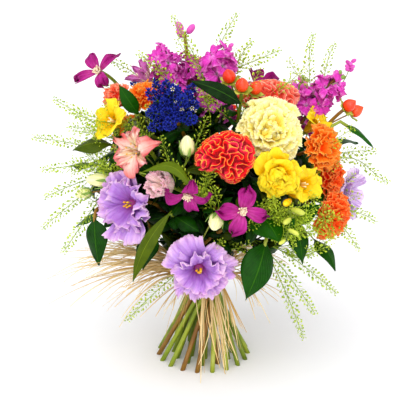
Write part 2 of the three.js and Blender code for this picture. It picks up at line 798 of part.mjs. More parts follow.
        base: [-60, -84, 186], tip: [-66, -124, 158], width: 26, look: [-0.3, -0.4, 1],
      },
      {
        from: 0.6, bears: "leaf",
        base: [-128, 40, 232], tip: [-166, 60, 226], width: 30, look: [-0.3, 0.2, 1],
      },
    ],
  },
  {
    name: "leaves_front", colour: "leaf",
    shoots: [
      { bears: "leaf", base: [69, -95, 180], tip: [46, -122, 122], width: 38, look: [0.3, -1, 0.2] },
      {
        from: 0.56, bears: "leaf",
        base: [58, -92, 214], tip: [82, -128, 190], width: 36, look: [0.2, -0.6, 1],
      },
      {
        from: 0.52, bears: "leaf",
        base: [104, -74, 200], tip: [110, -100, 156], width: 26, look: [0.5, -1, 0.3],
      },
      {
        from: 0.44, bears: "leaf",
        base: [128, -50, 168], tip: [150, -80, 140], width: 20, look: [0.4, -0.6, 1],
      },
    ],
  },
  {
    name: "leaves_right", colour: "leaf",
    shoots: [
      { bears: "leaf", base: [164, -14, 296], tip: [196, -24, 270], width: 13, look: [0.4, -0.4, 1] },
      { from: 0.6, bears: "leaf", base: [132, 34, 176], tip: [176, 46, 150], width: 32, look: [0.3, 0, 1] },
      {
        from: 0.64, bears: "leaf",
        base: [150, 40, 262], tip: [192, 56, 256], width: 30, look: [0.3, 0.2, 1],
      },
    ],
  },
  {
    name: "leaves_back", colour: "leaf",
    shoots: [
      { bears: "leaf", base: [42, 112, 192], tip: [52, 160, 160], width: 36, look: [0.1, 0.4, 1] },
      {
        from: 0.5, bears: "leaf",
        base: [-46, 100, 170], tip: [-60, 146, 140], width: 34, look: [-0.1, 0.4, 1],
      },
      {
        from: 0.54, bears: "leaf",
        base: [-96, 74, 196], tip: [-132, 108, 176], width: 32, look: [-0.3, 0.3, 1],
      },
      {
        from: 0.6, bears: "leaf",
        base: [92, 92, 190], tip: [124, 126, 160], width: 32, look: [0.3, 0.3, 1],
      },
    ],
  },
  {
    name: "pennycress_left", colour: "pennycress", hub: [-70, -10, 236], look: { yaw: -80, pitch: 40 },
    sprays: [
      [-172, -10, 324], [-200, 0, 277], [-184, -40, 248], [-186, -20, 210], [-194, 0, 165], [-164, -46, 150],
    ],
  },
  {
    name: "pennycress_top", colour: "pennycress", hub: [-4, 6, 300], look: { yaw: 0, pitch: 88 },
    sprays: [[-35, 10, 416], [-72, -30, 380], [-109, 24, 364], [38, 12, 419], [54, -20, 392], [84, -34, 384]],
  },
  {
    name: "pennycress_right", colour: "pennycress", hub: [92, 4, 250], look: { yaw: 80, pitch: 44 },
    sprays: [[126, 4, 397], [154, 28, 383], [206, 15, 256], [220, 0, 222], [204, -20, 179], [182, -40, 152]],
  },
  {
    name: "pennycress_low", colour: "pennycress", hub: [40, -40, 170], look: { yaw: 30, pitch: 10 },
    sprays: [[157, -50, 100], [131, -60, 79], [121, -40, 38], [-90, -50, 66]],
  },
  {
    name: "pennycress_back", colour: "pennycress", hub: [-10, 66, 240], look: { yaw: 180, pitch: 40 },
    sprays: [[-130, 96, 324], [-168, 84, 210], [-20, 176, 262], [60, 170, 300], [20, 180, 170]],
  },
];

// A pennycress is a bare stem to its hub, and from there one long thin spray to each tip.
for (const plant of PLANTS.filter(({ sprays }) => sprays)) {
  plant.shoots = [{ bears: "nothing", at: plant.hub, ...plant.look }];
  plant.sprays.forEach((tip, k) => {
    const away = vector(tip).sub(vector(plant.hub));
    const yaw = THREE.MathUtils.radToDeg(Math.atan2(away.x, -away.y));
    const pitch = THREE.MathUtils.radToDeg(Math.atan2(away.z, Math.hypot(away.x, away.y))) - 12;
    plant.shoots.push({ from: 0.66 + 0.32 * (k / plant.sprays.length), bears: "pods", at: tip, yaw, pitch });
  });
}

// A leaf's shoot ends a little inside the blade, along its midrib.
for (const shoot of PLANTS.flatMap(({ shoots }) => shoots).filter(({ bears }) => bears === "leaf")) {
  const along = vector(shoot.tip).sub(vector(shoot.base)).normalize();
  shoot.at = vector(shoot.base).addScaledVector(along, 5).toArray();
  shoot.yaw = THREE.MathUtils.radToDeg(Math.atan2(along.x, -along.y));
  shoot.pitch = THREE.MathUtils.radToDeg(Math.asin(along.z));
}

// Rings and places in the bundle, as a florist lays the stems: the most upright heads in the middle, each
// ring in the order of its heads round the bunch, and each head ahead of its slot by the spiral's lead.
function slotsFor(plants) {
  const heads = plants.map(({ shoots: [stem] }, index) => {
    const top = footOf(stem);
    const lean = Math.atan2(Math.hypot(top.x, top.y), top.z - WAIST_HEIGHT);
    return { index, lean, round: Math.atan2(top.y, top.x) };
  });
  heads.sort((a, b) => a.lean - b.lean);
  const slots = [];
  let taken = 0;
  RINGS.forEach((count, ring) => {
    const members = heads.slice(taken, taken + count).sort((a, b) => a.round - b.round);
    taken += count;
    const step = (2 * Math.PI) / members.length;
    const mean = members.reduce((sum, { round }, k) => {
      const turn = round - k * step;
      return sum.add(new THREE.Vector2(Math.cos(turn), Math.sin(turn)));
    }, new THREE.Vector2());
    const outermost = ring === RINGS.length - 1;
    const radius = outermost ? TIE_BORE - 2 * GAP - STEM_RADIUS : ring * SLOT_PITCH;
    members.forEach(({ index }, k) => {
      slots[index] = slotLine({ radius, angle: mean.angle() - degrees(SPIRAL_LEAD) + k * step });
    });
  });
  return slots;
}

const slots = slotsFor(PLANTS);
const plants = PLANTS.map((plant, index) => {
  return { ...plant, slot: slots[index], seed: index + 1, solids: [], heads: [] };
});

// Heads, buds, berries and leaves first: they have their places, and the stems find their way between them.
for (const plant of plants) {
  for (const shoot of plant.shoots.filter(({ name }) => name)) {
    const place = placeAt(footOf(shoot), facing(shoot), shoot.spin);
    plant.heads.push({ ...shoot, place, solid: HEADS[shoot.bears](shoot) });
    keep(roomOf(shoot), shoot.name);
  }
}
for (const plant of plants) {
  for (const shoot of plant.shoots.filter(({ name, bears }) => !name && HEADS[bears])) {
    const head = geometryOf(HEADS[shoot.bears](shoot));
    const place = placeAt(footOf(shoot), facing(shoot), shoot.spin);
    plant.solids.push(trimmed(solidOf(head.applyMatrix4(place)), plant.name));
  }
  for (const shoot of plant.shoots) {
    if (shoot.name) continue;
    if (HEADS[shoot.bears] || shoot.bears === "knobs") keep(roomOf(shoot), plant.name);
    if (shoot.bears === "florets") keep(spikeRoomOf(shoot), plant.name);
  }
}
for (const plant of plants) {
  for (const shoot of plant.shoots.filter(({ bears }) => bears === "leaf")) {
    plant.solids.push(trimmed(leafBlade(shoot), plant.name));
    keep(leafBlade(shoot, GAP), plant.name);
  }
}

// Where a shoot ends: just under a piece apart, or sunk in what is fused to it.
function endOf(shoot) {
  const sink = shoot.name ? -GAP : { cockscomb: 14, clematis: 3, bud: 3, berry: 2 }[shoot.bears] ?? 0;
  return footOf(shoot).addScaledVector(facing(shoot), sink);
}

// The stems, then the side shoots
for (const plant of plants) {
  const [stem] = plant.shoots;
  const { waist, foot, shoulder } = plant.slot;
  const up = waist.clone().sub(foot).normalize();
  const line = (i) => {
    const [rise, settle] = [0.42 - 0.02 * (i % 7), 0.34 - 0.05 * (i % 4)];
    const upper = bend(shoulder, up, endOf(stem), facing(stem), rise, settle, swayOf(plant.seed, i, 0.4));
    return new StemLine(plant.slot, upper);
  };
  const flare = stem.name ? CALYX_FLARE : 1;
  const make = (i, grow) => tube(line(i), STEM_RADIUS + grow, STEM_STEPS, STEM_SIDES, flare).subtract(ground);
  const laid = laidClear(plant.name, 90, make);
  plant.solids.push(laid.solid);
  plant.line = line(laid.choice);
}
for (const plant of plants) {
  plant.paths = [plant.line];
  plant.shoots.slice(1).forEach((shoot, k) => {
    const [radius, flare] = shoot.name ? [BRANCH_RADIUS, CALYX_FLARE] : [TWIG_RADIUS, 1];
    const along = (share) => plant.line.share + (1 - plant.line.share) * share;
    const path = (i) => {
      const shift = 0.02 * ((i % 9) - 4) * Math.min(i, 1);
      const from = along(THREE.MathUtils.clamp(shoot.from + shift, 0.1, 0.98));
      const [start, leave] = [plant.line.getPoint(from), plant.line.getTangent(from)];
      const sway = swayOf(plant.seed * 31 + k, i, 0.45);
      const [rise, settle] = [0.3 - 0.05 * (i % 5), 0.36 - 0.06 * (i % 4)];
      return bend(start, leave, endOf(shoot), facing(shoot), rise, settle, sway);
    };
    const make = (i, grow) => {
      if (shoot.bears === "pods") return sprayOf(path(i), grow);
      return tube(path(i), radius + grow, TWIG_STEPS, TWIG_SIDES, flare);
    };
    const laid = laidClear(plant.name, 60, make);
    plant.solids.push(laid.solid);
    plant.paths.push(path(laid.choice));
  });
}

// What grows along the shoots: florets round a spike, and knobs on the dome of a statice
function spikeFlorets(shoot, path) {
  const length = path.getLength();
  return Array.from({ length: shoot.count }, (_, k) => {
    const along = path.getTangentAt(1);
    const back = SPIKE_LENGTH * (1 - (k + 0.4) / shoot.count);
    const at = path.getPointAt(1 - back / length);
    const size = shoot.size * (k > shoot.count - 3 ? 0.72 : 1);
    const out = squareTo(along, GOLDEN_ANGLE * k).addScaledVector(along, 0.45).normalize();
    return solidOf(floret(size).applyMatrix4(placeAt(at.addScaledVector(out, 7), out, 30 * k)));
  });
}

// The knobs of a statice stand out of a smaller dome of their own twigs.
function staticeKnobs(shoot) {
  const [face, { reach, depth, count }] = [facing(shoot), shoot];
  const twigs = [[0, -4], [reach * 0.5, depth * 0.1], [reach * 0.6, depth * 0.3], [0, depth * 0.56]];
  const dome = turned(twigs, 8);
  const knobs = Array.from({ length: count }, (_, k) => {
    const share = Math.sqrt((k + 0.3) / count);
    const away = squareTo(face, GOLDEN_ANGLE * k);
    const at = vector(shoot.at).addScaledVector(away, (reach - 9) * share);
    at.addScaledVector(face, depth * (0.48 - 0.3 * share));
    const out = face.clone().addScaledVector(away, share * 0.9);
    return solidOf(knob(15, 16).applyMatrix4(placeAt(at, out, 20 * k)));
  });
  return [solidOf(dome.applyMatrix4(placeAt(vector(shoot.at), face))), ...knobs];
}

const ALONG = { florets: spikeFlorets, knobs: staticeKnobs };

for (const plant of plants) {
  plant.shoots.forEach((shoot, k) => {
    if (!ALONG[shoot.bears]) return;
    const all = ALONG[shoot.bears](shoot, plant.paths[k]);
    const grown = all.filter((solid) => clash(solid, plant.name) < 1e-3);
    grown.forEach((solid) => keep(solid, plant.name));
    plant.solids.push(...grown);
  });
}

// The mesh of a piece, with the colour of its surface.
function meshOf(name, geometry, colour) {
  const material = new THREE.MeshStandardMaterial({ color: COLOURS[colour], roughness: 0.65, metalness: 0 });
  const mesh = new THREE.Mesh(geometry, material);
  mesh.name = name;
  return mesh;
}

const bouquet = new THREE.Group();

for (const plant of plants) {
  const branch = new THREE.Group();
  branch.add(meshOf(plant.name, geometryOf(fused(plant.solids)), plant.colour));
  for (const head of plant.heads) {
    const mesh = meshOf(head.name, geometryOf(head.solid), head.colour);
    mesh.applyMatrix4(head.place);
    branch.add(mesh);
  }
  bouquet.add(branch);
}

// The raffia tie: a band wound round the waist, its turns lying one above the other
const wraps = 3;
const turns = Array.from({ length: wraps * 2 + 1 }, (_, i) => {
  const bulge = i % 2 ? TIE_WALL : TIE_WALL * 0.6;
  return new THREE.Vector2(TIE_BORE + bulge, TIE_HEIGHT * (i / (wraps * 2) - 0.5));
});
const bore = [new THREE.Vector2(TIE_BORE, TIE_HEIGHT / 2), new THREE.Vector2(TIE_BORE, -TIE_HEIGHT / 2)];
const tieBand = new THREE.LatheGeometry([...turns, ...bore, turns[0]], 16).rotateX(Math.PI / 2);
const tie = solidOf(tieBand.translate(0, 0, WAIST_HEIGHT));
keep(tie, "raffia_tie");
bouquet.add(meshOf("raffia_tie", geometryOf(tie), "raffia"));

// The raffia collar: a loop above the tie, open at the back, and the loose strands that fan out of it. Each
// strand leaves at an angle round the loop, and ends at a distance from the middle and a height.
const STRANDS = [
  [196, 172, 128], [206, 150, 110], [214, 168, 136], [187, 158, 116], [178, 146, 136], [224, 138, 104],
  [233, 148, 128], [168, 124, 122], [242, 118, 92], [154, 108, 128], [256, 96, 76], [270, 76, 22],
  [283, 66, 8], [293, 72, 16], [303, 80, 36], [314, 96, 84], [326, 110, 114], [340, 100, 132],
  [4, 90, 126], [28, 86, 122], [124, 96, 122],
];
const loopMiddle = WAIST_HEIGHT + TIE_HEIGHT / 2 + GAP + COLLAR_HEIGHT / 2;
const loopRadius = TIE_BORE + 3.6;

class LoopLine extends THREE.Curve {
  getPoint(t, target = new THREE.Vector3()) {
    const angle = degrees(112 + 286 * t);
    return target.set(loopRadius * Math.cos(angle), loopRadius * Math.sin(angle), loopMiddle);
  }
}

const strands = [];
const loop = tube(new LoopLine(), COLLAR_HEIGHT / 2, 14, 4);
STRANDS.forEach(([angle, reach, height], k) => {
  const out = new THREE.Vector3(Math.cos(degrees(angle)), Math.sin(degrees(angle)), 0);
  const start = out.clone().multiplyScalar(loopRadius).setZ(loopMiddle);
  const end = out.clone().multiplyScalar(reach).setZ(height);
  const path = (i) => {
    const random = seeded(k * 613 + i * 977);
    const lift = 10 + 34 * random();
    const away = start.clone().lerp(end, 0.35).add(new THREE.Vector3(0, 0, lift));
    const far = start.clone().lerp(end, 0.75).add(new THREE.Vector3(0, 0, lift * 0.7));
    const aside = 24 * (random() - 0.5) * Math.min(1, i / 6);
    const swing = new THREE.Vector3(-out.y, out.x, 0).multiplyScalar(aside);
    return new THREE.CubicBezierCurve3(start, away.add(swing), far.add(swing), end);
  };
  const make = (i, grow) => tube(path(i), STRAND_RADIUS + grow, TWIG_STEPS, TWIG_SIDES);
  const laid = laidClear("strand " + k, 60, make);
  strands.push(laid.solid);
});
bouquet.add(meshOf("raffia_collar", geometryOf(fused([loop, ...strands])), "raffia"));

export default bouquet;
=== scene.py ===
# A hand-tied bouquet of mixed flowers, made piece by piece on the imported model

import math
import random
from types import SimpleNamespace

import bmesh
import bpy
import numpy as np
from mathutils import Matrix, Vector, noise
from mathutils.bvhtree import BVHTree


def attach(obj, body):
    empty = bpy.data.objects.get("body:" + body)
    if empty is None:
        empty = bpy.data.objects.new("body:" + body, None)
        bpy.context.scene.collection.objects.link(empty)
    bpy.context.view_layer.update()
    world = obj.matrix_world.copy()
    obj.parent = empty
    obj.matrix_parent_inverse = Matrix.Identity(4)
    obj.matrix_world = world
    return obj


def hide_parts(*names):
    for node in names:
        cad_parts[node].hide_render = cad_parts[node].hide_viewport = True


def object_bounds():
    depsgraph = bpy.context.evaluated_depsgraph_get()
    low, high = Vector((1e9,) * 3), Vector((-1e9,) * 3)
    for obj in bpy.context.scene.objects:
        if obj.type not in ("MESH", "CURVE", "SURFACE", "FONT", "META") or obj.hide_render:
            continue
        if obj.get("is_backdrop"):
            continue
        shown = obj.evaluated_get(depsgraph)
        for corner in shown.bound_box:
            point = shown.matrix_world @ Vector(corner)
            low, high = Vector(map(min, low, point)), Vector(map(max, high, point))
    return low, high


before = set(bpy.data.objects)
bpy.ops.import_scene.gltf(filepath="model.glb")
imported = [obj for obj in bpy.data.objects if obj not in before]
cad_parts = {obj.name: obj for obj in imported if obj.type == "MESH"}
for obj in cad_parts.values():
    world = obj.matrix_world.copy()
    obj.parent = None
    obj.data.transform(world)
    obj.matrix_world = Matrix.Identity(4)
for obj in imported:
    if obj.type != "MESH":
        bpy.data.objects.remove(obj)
first_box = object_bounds()

# Stems
# Each plant is one cut stem 4 to 5 mm thick, laid in a spiral through the raffia tie, with thinner side
# shoots. They are green or brownish stalks as grown, cut flat at the foot, and only the raffia holds them.

MM = 0.001  # the shapes below are worked out in millimetres
UP = Vector((0, 0, 1))
WAIST_HEIGHT = 100  # the tie's mid height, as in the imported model
SLOT_PITCH = 5.4  # from one ring of stems in the tie to the next
RINGS = [1, 6, 12, 19]  # how many stems each ring holds
OUTER_RADIUS = 16.4  # of the outermost ring
FOOT_SPREAD = 3.4  # how many times wider the stems stand at the foot
SPIRAL_LEAD = 64  # degrees round the tie, from a stem's place there to its bloom
STEM_RADIUS = 2.5
SEAT_GAP = 0.3  # from the end of a stem to a bloom that is a node of its own
LEAF_HOLD = 5  # how far a twig runs up the leaf it bears
APOTHEM = 2.02  # from the middle of a packed stem to the middle of its flat sides
SINK = {"cockscomb": 14, "clematis": 3, "bud": 3, "berry": 2}  # how far a stem runs into its head
HEADS = ["cockscomb", "lisianthus", "carnation", "freesia", "doubleFreesia", "alstroemeria", "clematis",
         "bud", "berry"]


def polar(angle, radius, height=0):
    """The point at an angle round the middle, in radians."""
    return Matrix.Rotation(angle, 3, "Z") @ Vector((radius, 0, height))


def aimed(at, direction, spin=0, size=(1, 1, 1)):
    """The matrix that sets a part's +Z along a direction."""
    turn = UP.rotation_difference(direction).to_matrix().to_4x4()
    return (Matrix.Translation(at) @ turn @ Matrix.Rotation(math.radians(spin), 4, "Z")
            @ Matrix.Diagonal((*size, 1)))


def shoot(bears, at, yaw, pitch, reach=0, depth=0, name=None, spin=0, across=0.85, start=0, **more):
    """A shoot that ends at what it bears, whose front is at a point and looks along yaw and pitch in degrees.
    A side shoot leaves the stem at the share start of its length."""
    y, p = math.radians(yaw), math.radians(pitch)
    face = Vector((math.sin(y) * math.cos(p), -math.cos(y) * math.cos(p), math.sin(p)))
    foot = Vector(at) - face * (depth if bears in HEADS else 0)
    end = foot + face * (-SEAT_GAP if name else SINK.get(bears, 0))
    place = aimed(foot, face, spin)
    return SimpleNamespace(bears=bears, at=Vector(at), face=face, foot=foot, end=end, place=place,
                           reach=reach, depth=depth, name=name, spin=spin, across=across, start=start,
                           **more)


def leafy(base, tip, width, look, start=0, bow=0.0):
    """A twig that ends a little way up the leaf it bears. The leaf's face looks along look."""
    base, tip = Vector(base), Vector(tip)
    ahead = (tip - base).normalized()
    yaw, pitch = math.degrees(math.atan2(ahead.x, -ahead.y)), math.degrees(math.asin(ahead.z))
    return shoot("leaf", base + ahead * LEAF_HOLD, yaw, pitch, start=start, base=base, tip=tip, width=width,
                 look=Vector(look), bow=bow)


def twiggy(hub, yaw, pitch, tips):
    """A branching plant: a stem up to its hub, and a spray of pods out to each of the tips. The sprays leave
    the upper third of the stem, and each arrives 12 degrees flatter than the line from the hub."""
    shoots = [shoot("nothing", hub, yaw, pitch)]
    for k, tip in enumerate(tips):
        away = Vector(tip) - Vector(hub)
        swing = math.degrees(math.atan2(away.x, -away.y))
        rise = math.degrees(math.atan2(away.z, math.hypot(away.x, away.y))) - 12
        shoots.append(shoot("pods", tip, swing, rise, start=0.66 + 0.32 * k / len(tips)))
    return shoots


# Every plant by the node that its pieces replace. Its stem comes first and then its side shoots, each with
# what it bears, the middle of its front, the yaw and pitch it looks along, its radius and its depth.
PLANTS = {
    "cockscomb_front": [shoot("cockscomb", (23, -126, 284), 2, 16, 32, 40, spin=28)],
    "cockscomb_coral": [shoot("cockscomb", (76, -14, 342), 12, 66, 36, 34, across=0.6)],
    "cockscomb_back": [shoot("cockscomb", (14, 128, 290), 176, 26, 32, 40, spin=20)],
    "lisianthus_stem_left": [
        shoot("lisianthus", (-90, -88, 220), -32, 8, 37, 32, name="lisianthus_left", spin=20),
        shoot("bud", (-133, -58, 242), -84, 4, 8, 28, start=0.55),
        shoot("bud", (-148, -46, 220), -84, -8, 6, 20, start=0.5),
    ],
    "lisianthus_stem_front": [
        shoot("lisianthus", (-4, -122, 160), 4, 10, 35, 30, name="lisianthus_front"),
        shoot("bud", (10, -130, 206), -20, -40, 8, 20, start=0.5),
    ],
    "lisianthus_stem_right": [
        shoot("lisianthus", (186, 6, 210), 80, -2, 28, 34, name="lisianthus_right", spin=10),
    ],
    "lisianthus_stem_blush": [
        shoot("lisianthus", (-52, -110, 254), -42, 24, 15, 26, name="lisianthus_blush"),
        shoot("bud", (-18, -106, 304), -4, 74, 8, 24, start=0.6),
    ],
    "lisianthus_stem_back": [shoot("lisianthus", (-30, 142, 214), 190, 4, 36, 32, name="lisianthus_back")],
    "carnation_stem_lemon": [shoot("carnation", (76, -84, 306), 14, 24, 35, 38, name="carnation_lemon")],
    "carnation_stem_right": [
        shoot("carnation", (140, -62, 283), 40, 22, 25, 28, name="carnation_orange_upper"),
        shoot("carnation", (152, -78, 202), 42, -4, 26, 28, name="carnation_orange_lower", start=0.5),
        shoot("carnation", (156, -38, 238), 62, 4, 20, 26, name="carnation_scarlet", start=0.56),
    ],
    "carnation_stem_left": [
        shoot("carnation", (-70, -45, 341), -26, 50, 18, 26, name="carnation_orange_left"),
        shoot("carnation", (-106, -26, 334), -60, 36, 17, 24, name="carnation_coral_left", start=0.66),
    ],
    "carnation_stem_back": [shoot("carnation", (92, 122, 262), 146, 14, 30, 32, name="carnation_back_lemon")],
    "carnation_stem_back_left": [
        shoot("carnation", (-100, 102, 262), 226, 16, 27, 28, name="carnation_back_orange"),
    ],
    "freesia_stem_right": [
        shoot("freesia", (116, -100, 248), 40, 12, 19, 32, name="freesia_right"),
        shoot("doubleFreesia", (80, -118, 260), 6, -2, 23, 28, name="freesia_double", spin=30, start=0.62),
        shoot("bud", (110, -100, 214), 64, -8, 4.5, 20, start=0.56),
    ],
    "freesia_stem_top": [shoot("freesia", (136, -20, 306), 60, 44, 17, 30, name="freesia_top", spin=20)],
    "freesia_stem_left": [shoot("freesia", (-108, -66, 314), -46, 24, 20, 28, name="freesia_left")],
    "freesia_stem_back": [shoot("freesia", (138, 84, 222), 122, 6, 22, 30, name="freesia_back")],
    "alstroemeria_stem": [
        shoot("alstroemeria", (-80, -100, 286), -28, 12, 27, 36, name="alstroemeria", spin=40),
        leafy((-34, -124, 226), (-76, -142, 152), 17, (-0.4, -1, 0.3), start=0.5),
        leafy((-66, -116, 266), (-12, -132, 250), 13, (0, -1, 0.7), start=0.6, bow=-0.28),
        leafy((-100, -58, 282), (-146, -60, 276), 24, (-0.2, -0.6, 1), start=0.7),
    ],
    "statice_front": [shoot("knobs", (-34, -82, 328), -10, 38, 33, 34)],
    "statice_back": [shoot("knobs", (-60, 92, 316), 206, 40, 30, 32)],
    "clematis_front": [
        shoot("clematis", (42, -136, 228), 6, 10, 30, 12, spin=20),
        shoot("clematis", (-18, -132, 238), -6, -34, 26, 14, spin=45, start=0.6),
    ],
    "clematis_left": [
        shoot("clematis", (-125, 0, 357), -18, 16, 26, 12, spin=30),
        shoot("clematis", (-82, 6, 358), -70, 40, 13, 30, start=0.72),
    ],
    "clematis_back": [shoot("clematis", (74, 116, 322), 160, 30, 27, 12)],
    "stock_left": [
        shoot("florets", (-22, 18, 398), -90, 84, 12),
        shoot("florets", (-48, 4, 374), -90, 78, 12, start=0.5),
    ],
    "stock_middle": [shoot("florets", (18, -14, 374), 40, 82, 12)],
    "stock_right": [shoot("florets", (158, 6, 350), 90, 44, 12)],
    "stock_back": [shoot("florets", (124, 76, 334), 130, 56, 12)],
    "hypericum_front": [
        shoot("berry", (42, -66, 356), 4, 64, 6.5, 14),
        shoot("berry", (26, -58, 364), -30, 60, 6.5, 14, start=0.8),
        shoot("berry", (60, -52, 350), 40, 56, 6.5, 14, start=0.76),
    ],
    "hypericum_right": [
        shoot("berry", (172, -16, 322), 60, 40, 6.5, 14),
        shoot("berry", (183, -2, 312), 80, 30, 6.5, 14, start=0.84),
    ],
    "leaves_left": [
        leafy((-124, -62, 198), (-119, -78, 146), 28, (-0.5, -1, 0.2)),
        leafy((-112, -8, 190), (-156, 8, 162), 30, (-0.3, 0, 1), start=0.5),
        leafy((-60, -84, 186), (-66, -124, 158), 26, (-0.3, -0.4, 1), start=0.46),
        leafy((-128, 40, 232), (-166, 60, 226), 30, (-0.3, 0.2, 1), start=0.6),
    ],
    "leaves_front": [
        leafy((69, -95, 180), (46, -122, 122), 38, (0.3, -1, 0.2)),
        leafy((58, -92, 214), (82, -128, 190), 36, (0.2, -0.6, 1), start=0.56),
        leafy((104, -74, 200), (110, -100, 156), 26, (0.5, -1, 0.3), start=0.52),
        leafy((128, -50, 168), (150, -80, 140), 20, (0.4, -0.6, 1), start=0.44),
    ],
    "leaves_right": [
        leafy((164, -14, 296), (196, -24, 270), 13, (0.4, -0.4, 1)),
        leafy((132, 34, 176), (176, 46, 150), 32, (0.3, 0, 1), start=0.6),
        leafy((150, 40, 262), (192, 56, 256), 30, (0.3, 0.2, 1), start=0.64),
    ],
    "leaves_back": [
        leafy((42, 112, 192), (52, 160, 160), 36, (0.1, 0.4, 1)),
        leafy((-46, 100, 170), (-60, 146, 140), 34, (-0.1, 0.4, 1), start=0.5),
        leafy((-96, 74, 196), (-132, 108, 176), 32, (-0.3, 0.3, 1), start=0.54),
        leafy((92, 92, 190), (124, 126, 160), 32, (0.3, 0.3, 1), start=0.6),
    ],
    "pennycress_left": twiggy((-70, -10, 236), -80, 40, [
        (-172, -10, 324), (-200, 0, 277), (-184, -40, 248), (-186, -20, 210), (-194, 0, 165),
        (-164, -46, 150),
    ]),
    "pennycress_top": twiggy((-4, 6, 300), 0, 88, [
        (-35, 10, 416), (-72, -30, 380), (-109, 24, 364), (38, 12, 419), (54, -20, 392),
        (84, -34, 384),
    ]),
    "pennycress_right": twiggy((92, 4, 250), 80, 44, [
        (126, 4, 397), (154, 28, 383), (206, 15, 256), (220, 0, 222), (204, -20, 179), (182, -40, 152),
    ]),
    "pennycress_low": twiggy((40, -40, 170), 30, 10, [
        (157, -50, 100), (131, -60, 79), (121, -40, 38), (-90, -50, 66),
    ]),
    "pennycress_back": twiggy((-10, 66, 240), 180, 40, [
        (-130, 96, 324), (-168, 84, 210), (-20, 176, 262), (60, 170, 300), (20, 180, 170),
    ]),
}

class Path:
    """A smooth bend drawn towards each of its points in turn, read by a share of its length."""

    def __init__(self, points):
        steps = np.linspace(0, 1, 121)
        order = len(points) - 1
        pulls = [math.comb(order, k) * steps**k * (1 - steps) ** (order - k) for k in range(order + 1)]
        self.line = np.array(pulls).T @ np.array([list(point) for point in points])
        lengths = np.linalg.norm(np.diff(self.line, axis=0), axis=1)
        self.length = lengths.sum()
        self.shares = np.concatenate([[0], np.cumsum(lengths)]) / self.length

    def at(self, share):
        """The point at a share of the length."""
        return Vector([np.interp(share, self.shares, self.line[:, k]) for k in range(3)])

    def towards(self, share):
        """The direction in which the path runs there."""
        return (self.at(min(share + 0.004, 1)) - self.at(max(share - 0.004, 0))).normalized()

    def points(self, steps):
        """The start and the point after each of as many equal steps."""
        return [self.at(k / steps) for k in range(steps + 1)]


def bend(start, leave, end, arrive, rise, settle, sway=Vector()):
    """A path that leaves along one direction, arrives along another and swings aside by sway."""
    span = (end - start).length
    near, far = start + leave * span * rise, end - arrive * span * settle
    return Path([start, near, near.lerp(far, 0.5) + sway * span * 1.6, far, end])


def seeded(seed):
    """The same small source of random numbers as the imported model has."""
    state = seed
    while True:
        state = (state * 1664525 + 1013904223) % 4294967296
        yield state / 4294967296


def sway_of(seed, i, widest):
    """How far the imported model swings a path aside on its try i."""
    numbers = seeded(seed * 7919 + i * 104729)
    x, y, z = (next(numbers) - 0.5 for _ in range(3))
    return Vector((x, y, z * 0.5)) * 2 * widest * min(1, i / 24)


def surface_of(node):
    """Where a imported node's surface is, to measure distances to it."""
    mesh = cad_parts[node].data
    return BVHTree.FromPolygons([v.co for v in mesh.vertices], [list(p.vertices) for p in mesh.polygons])


def nearest_path(surface, paths, marks):
    """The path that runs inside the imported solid: marks are its shares and its depth under the surface."""
    def misfit(path):
        return sum(abs(surface.find_nearest(path.at(t) * MM)[3] / MM - depth) for t, depth in marks)
    return min(paths, key=misfit)


def slots():
    """Each stem's place in the bundle: its waist, foot and shoulder, on one slanting line."""
    heads = []
    for name, (stem, *_) in PLANTS.items():
        top = stem.foot
        lean = math.atan2(math.hypot(top.x, top.y), top.z - WAIST_HEIGHT)
        heads.append((lean, math.atan2(top.y, top.x), name))
    heads.sort(key=lambda head: head[0])
    found, swing = {}, math.acos(1 / FOOT_SPREAD)
    for ring, count in enumerate(RINGS):
        members = sorted(heads[sum(RINGS[:ring]):][:count], key=lambda head: head[1])
        step = 2 * math.pi / len(members)
        offsets = [member[1] - k * step for k, member in enumerate(members)]
        mean = math.atan2(sum(math.sin(a) for a in offsets), sum(math.cos(a) for a in offsets))
        first = mean - math.radians(SPIRAL_LEAD)
        radius = OUTER_RADIUS if ring == len(RINGS) - 1 else ring * SLOT_PITCH
        for k, member in enumerate(members):
            waist = polar(first + k * step, radius)
            foot = Matrix.Rotation(-swing, 3, "Z") @ waist * FOOT_SPREAD
            waist.z = WAIST_HEIGHT
            found[member[2]] = (foot, waist, foot.lerp(waist, 1.15))
    return found


def grown_paths():
    """The stem and side shoots of each plant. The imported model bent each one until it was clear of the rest,
    so its tries are worked out again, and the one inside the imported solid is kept."""
    plants, places = {}, slots()
    for seed, (name, shoots) in enumerate(PLANTS.items(), 1):
        surface = surface_of(name)
        foot, waist, shoulder = places[name]
        up, stem = (waist - foot).normalized(), shoots[0]
        tries = [bend(shoulder, up, stem.end, stem.face, 0.42 - 0.02 * (i % 7), 0.34 - 0.05 * (i % 4),
                      sway_of(seed, i, 0.4)) for i in range(90)]
        upper = nearest_path(surface, tries, [(0.25, APOTHEM), (0.5, APOTHEM), (0.75, APOTHEM)])
        paths = [upper]
        for k, side in enumerate(shoots[1:]):
            tries = []
            for i in range(60):
                start = min(max(side.start + 0.02 * (i % 9 - 4) * min(i, 1), 0.1), 0.98)
                rise, settle = 0.3 - 0.05 * (i % 5), 0.36 - 0.06 * (i % 4)
                tries.append(bend(upper.at(start), upper.towards(start), side.end, side.face, rise, settle,
                                  sway_of(seed * 31 + k, i, 0.45)))
            thin = 0.5 * (1.7 if side.name else 1.2)
            marks = [(0.23, 0.45), (0.46, 0.4)] if side.bears == "pods" else [(1 / 3, thin), (2 / 3, thin)]
            paths.append(nearest_path(surface, tries, marks))
        plants[name] = SimpleNamespace(shoots=shoots, paths=paths, foot=foot, shoulder=shoulder)
    return plants


plants = grown_paths()


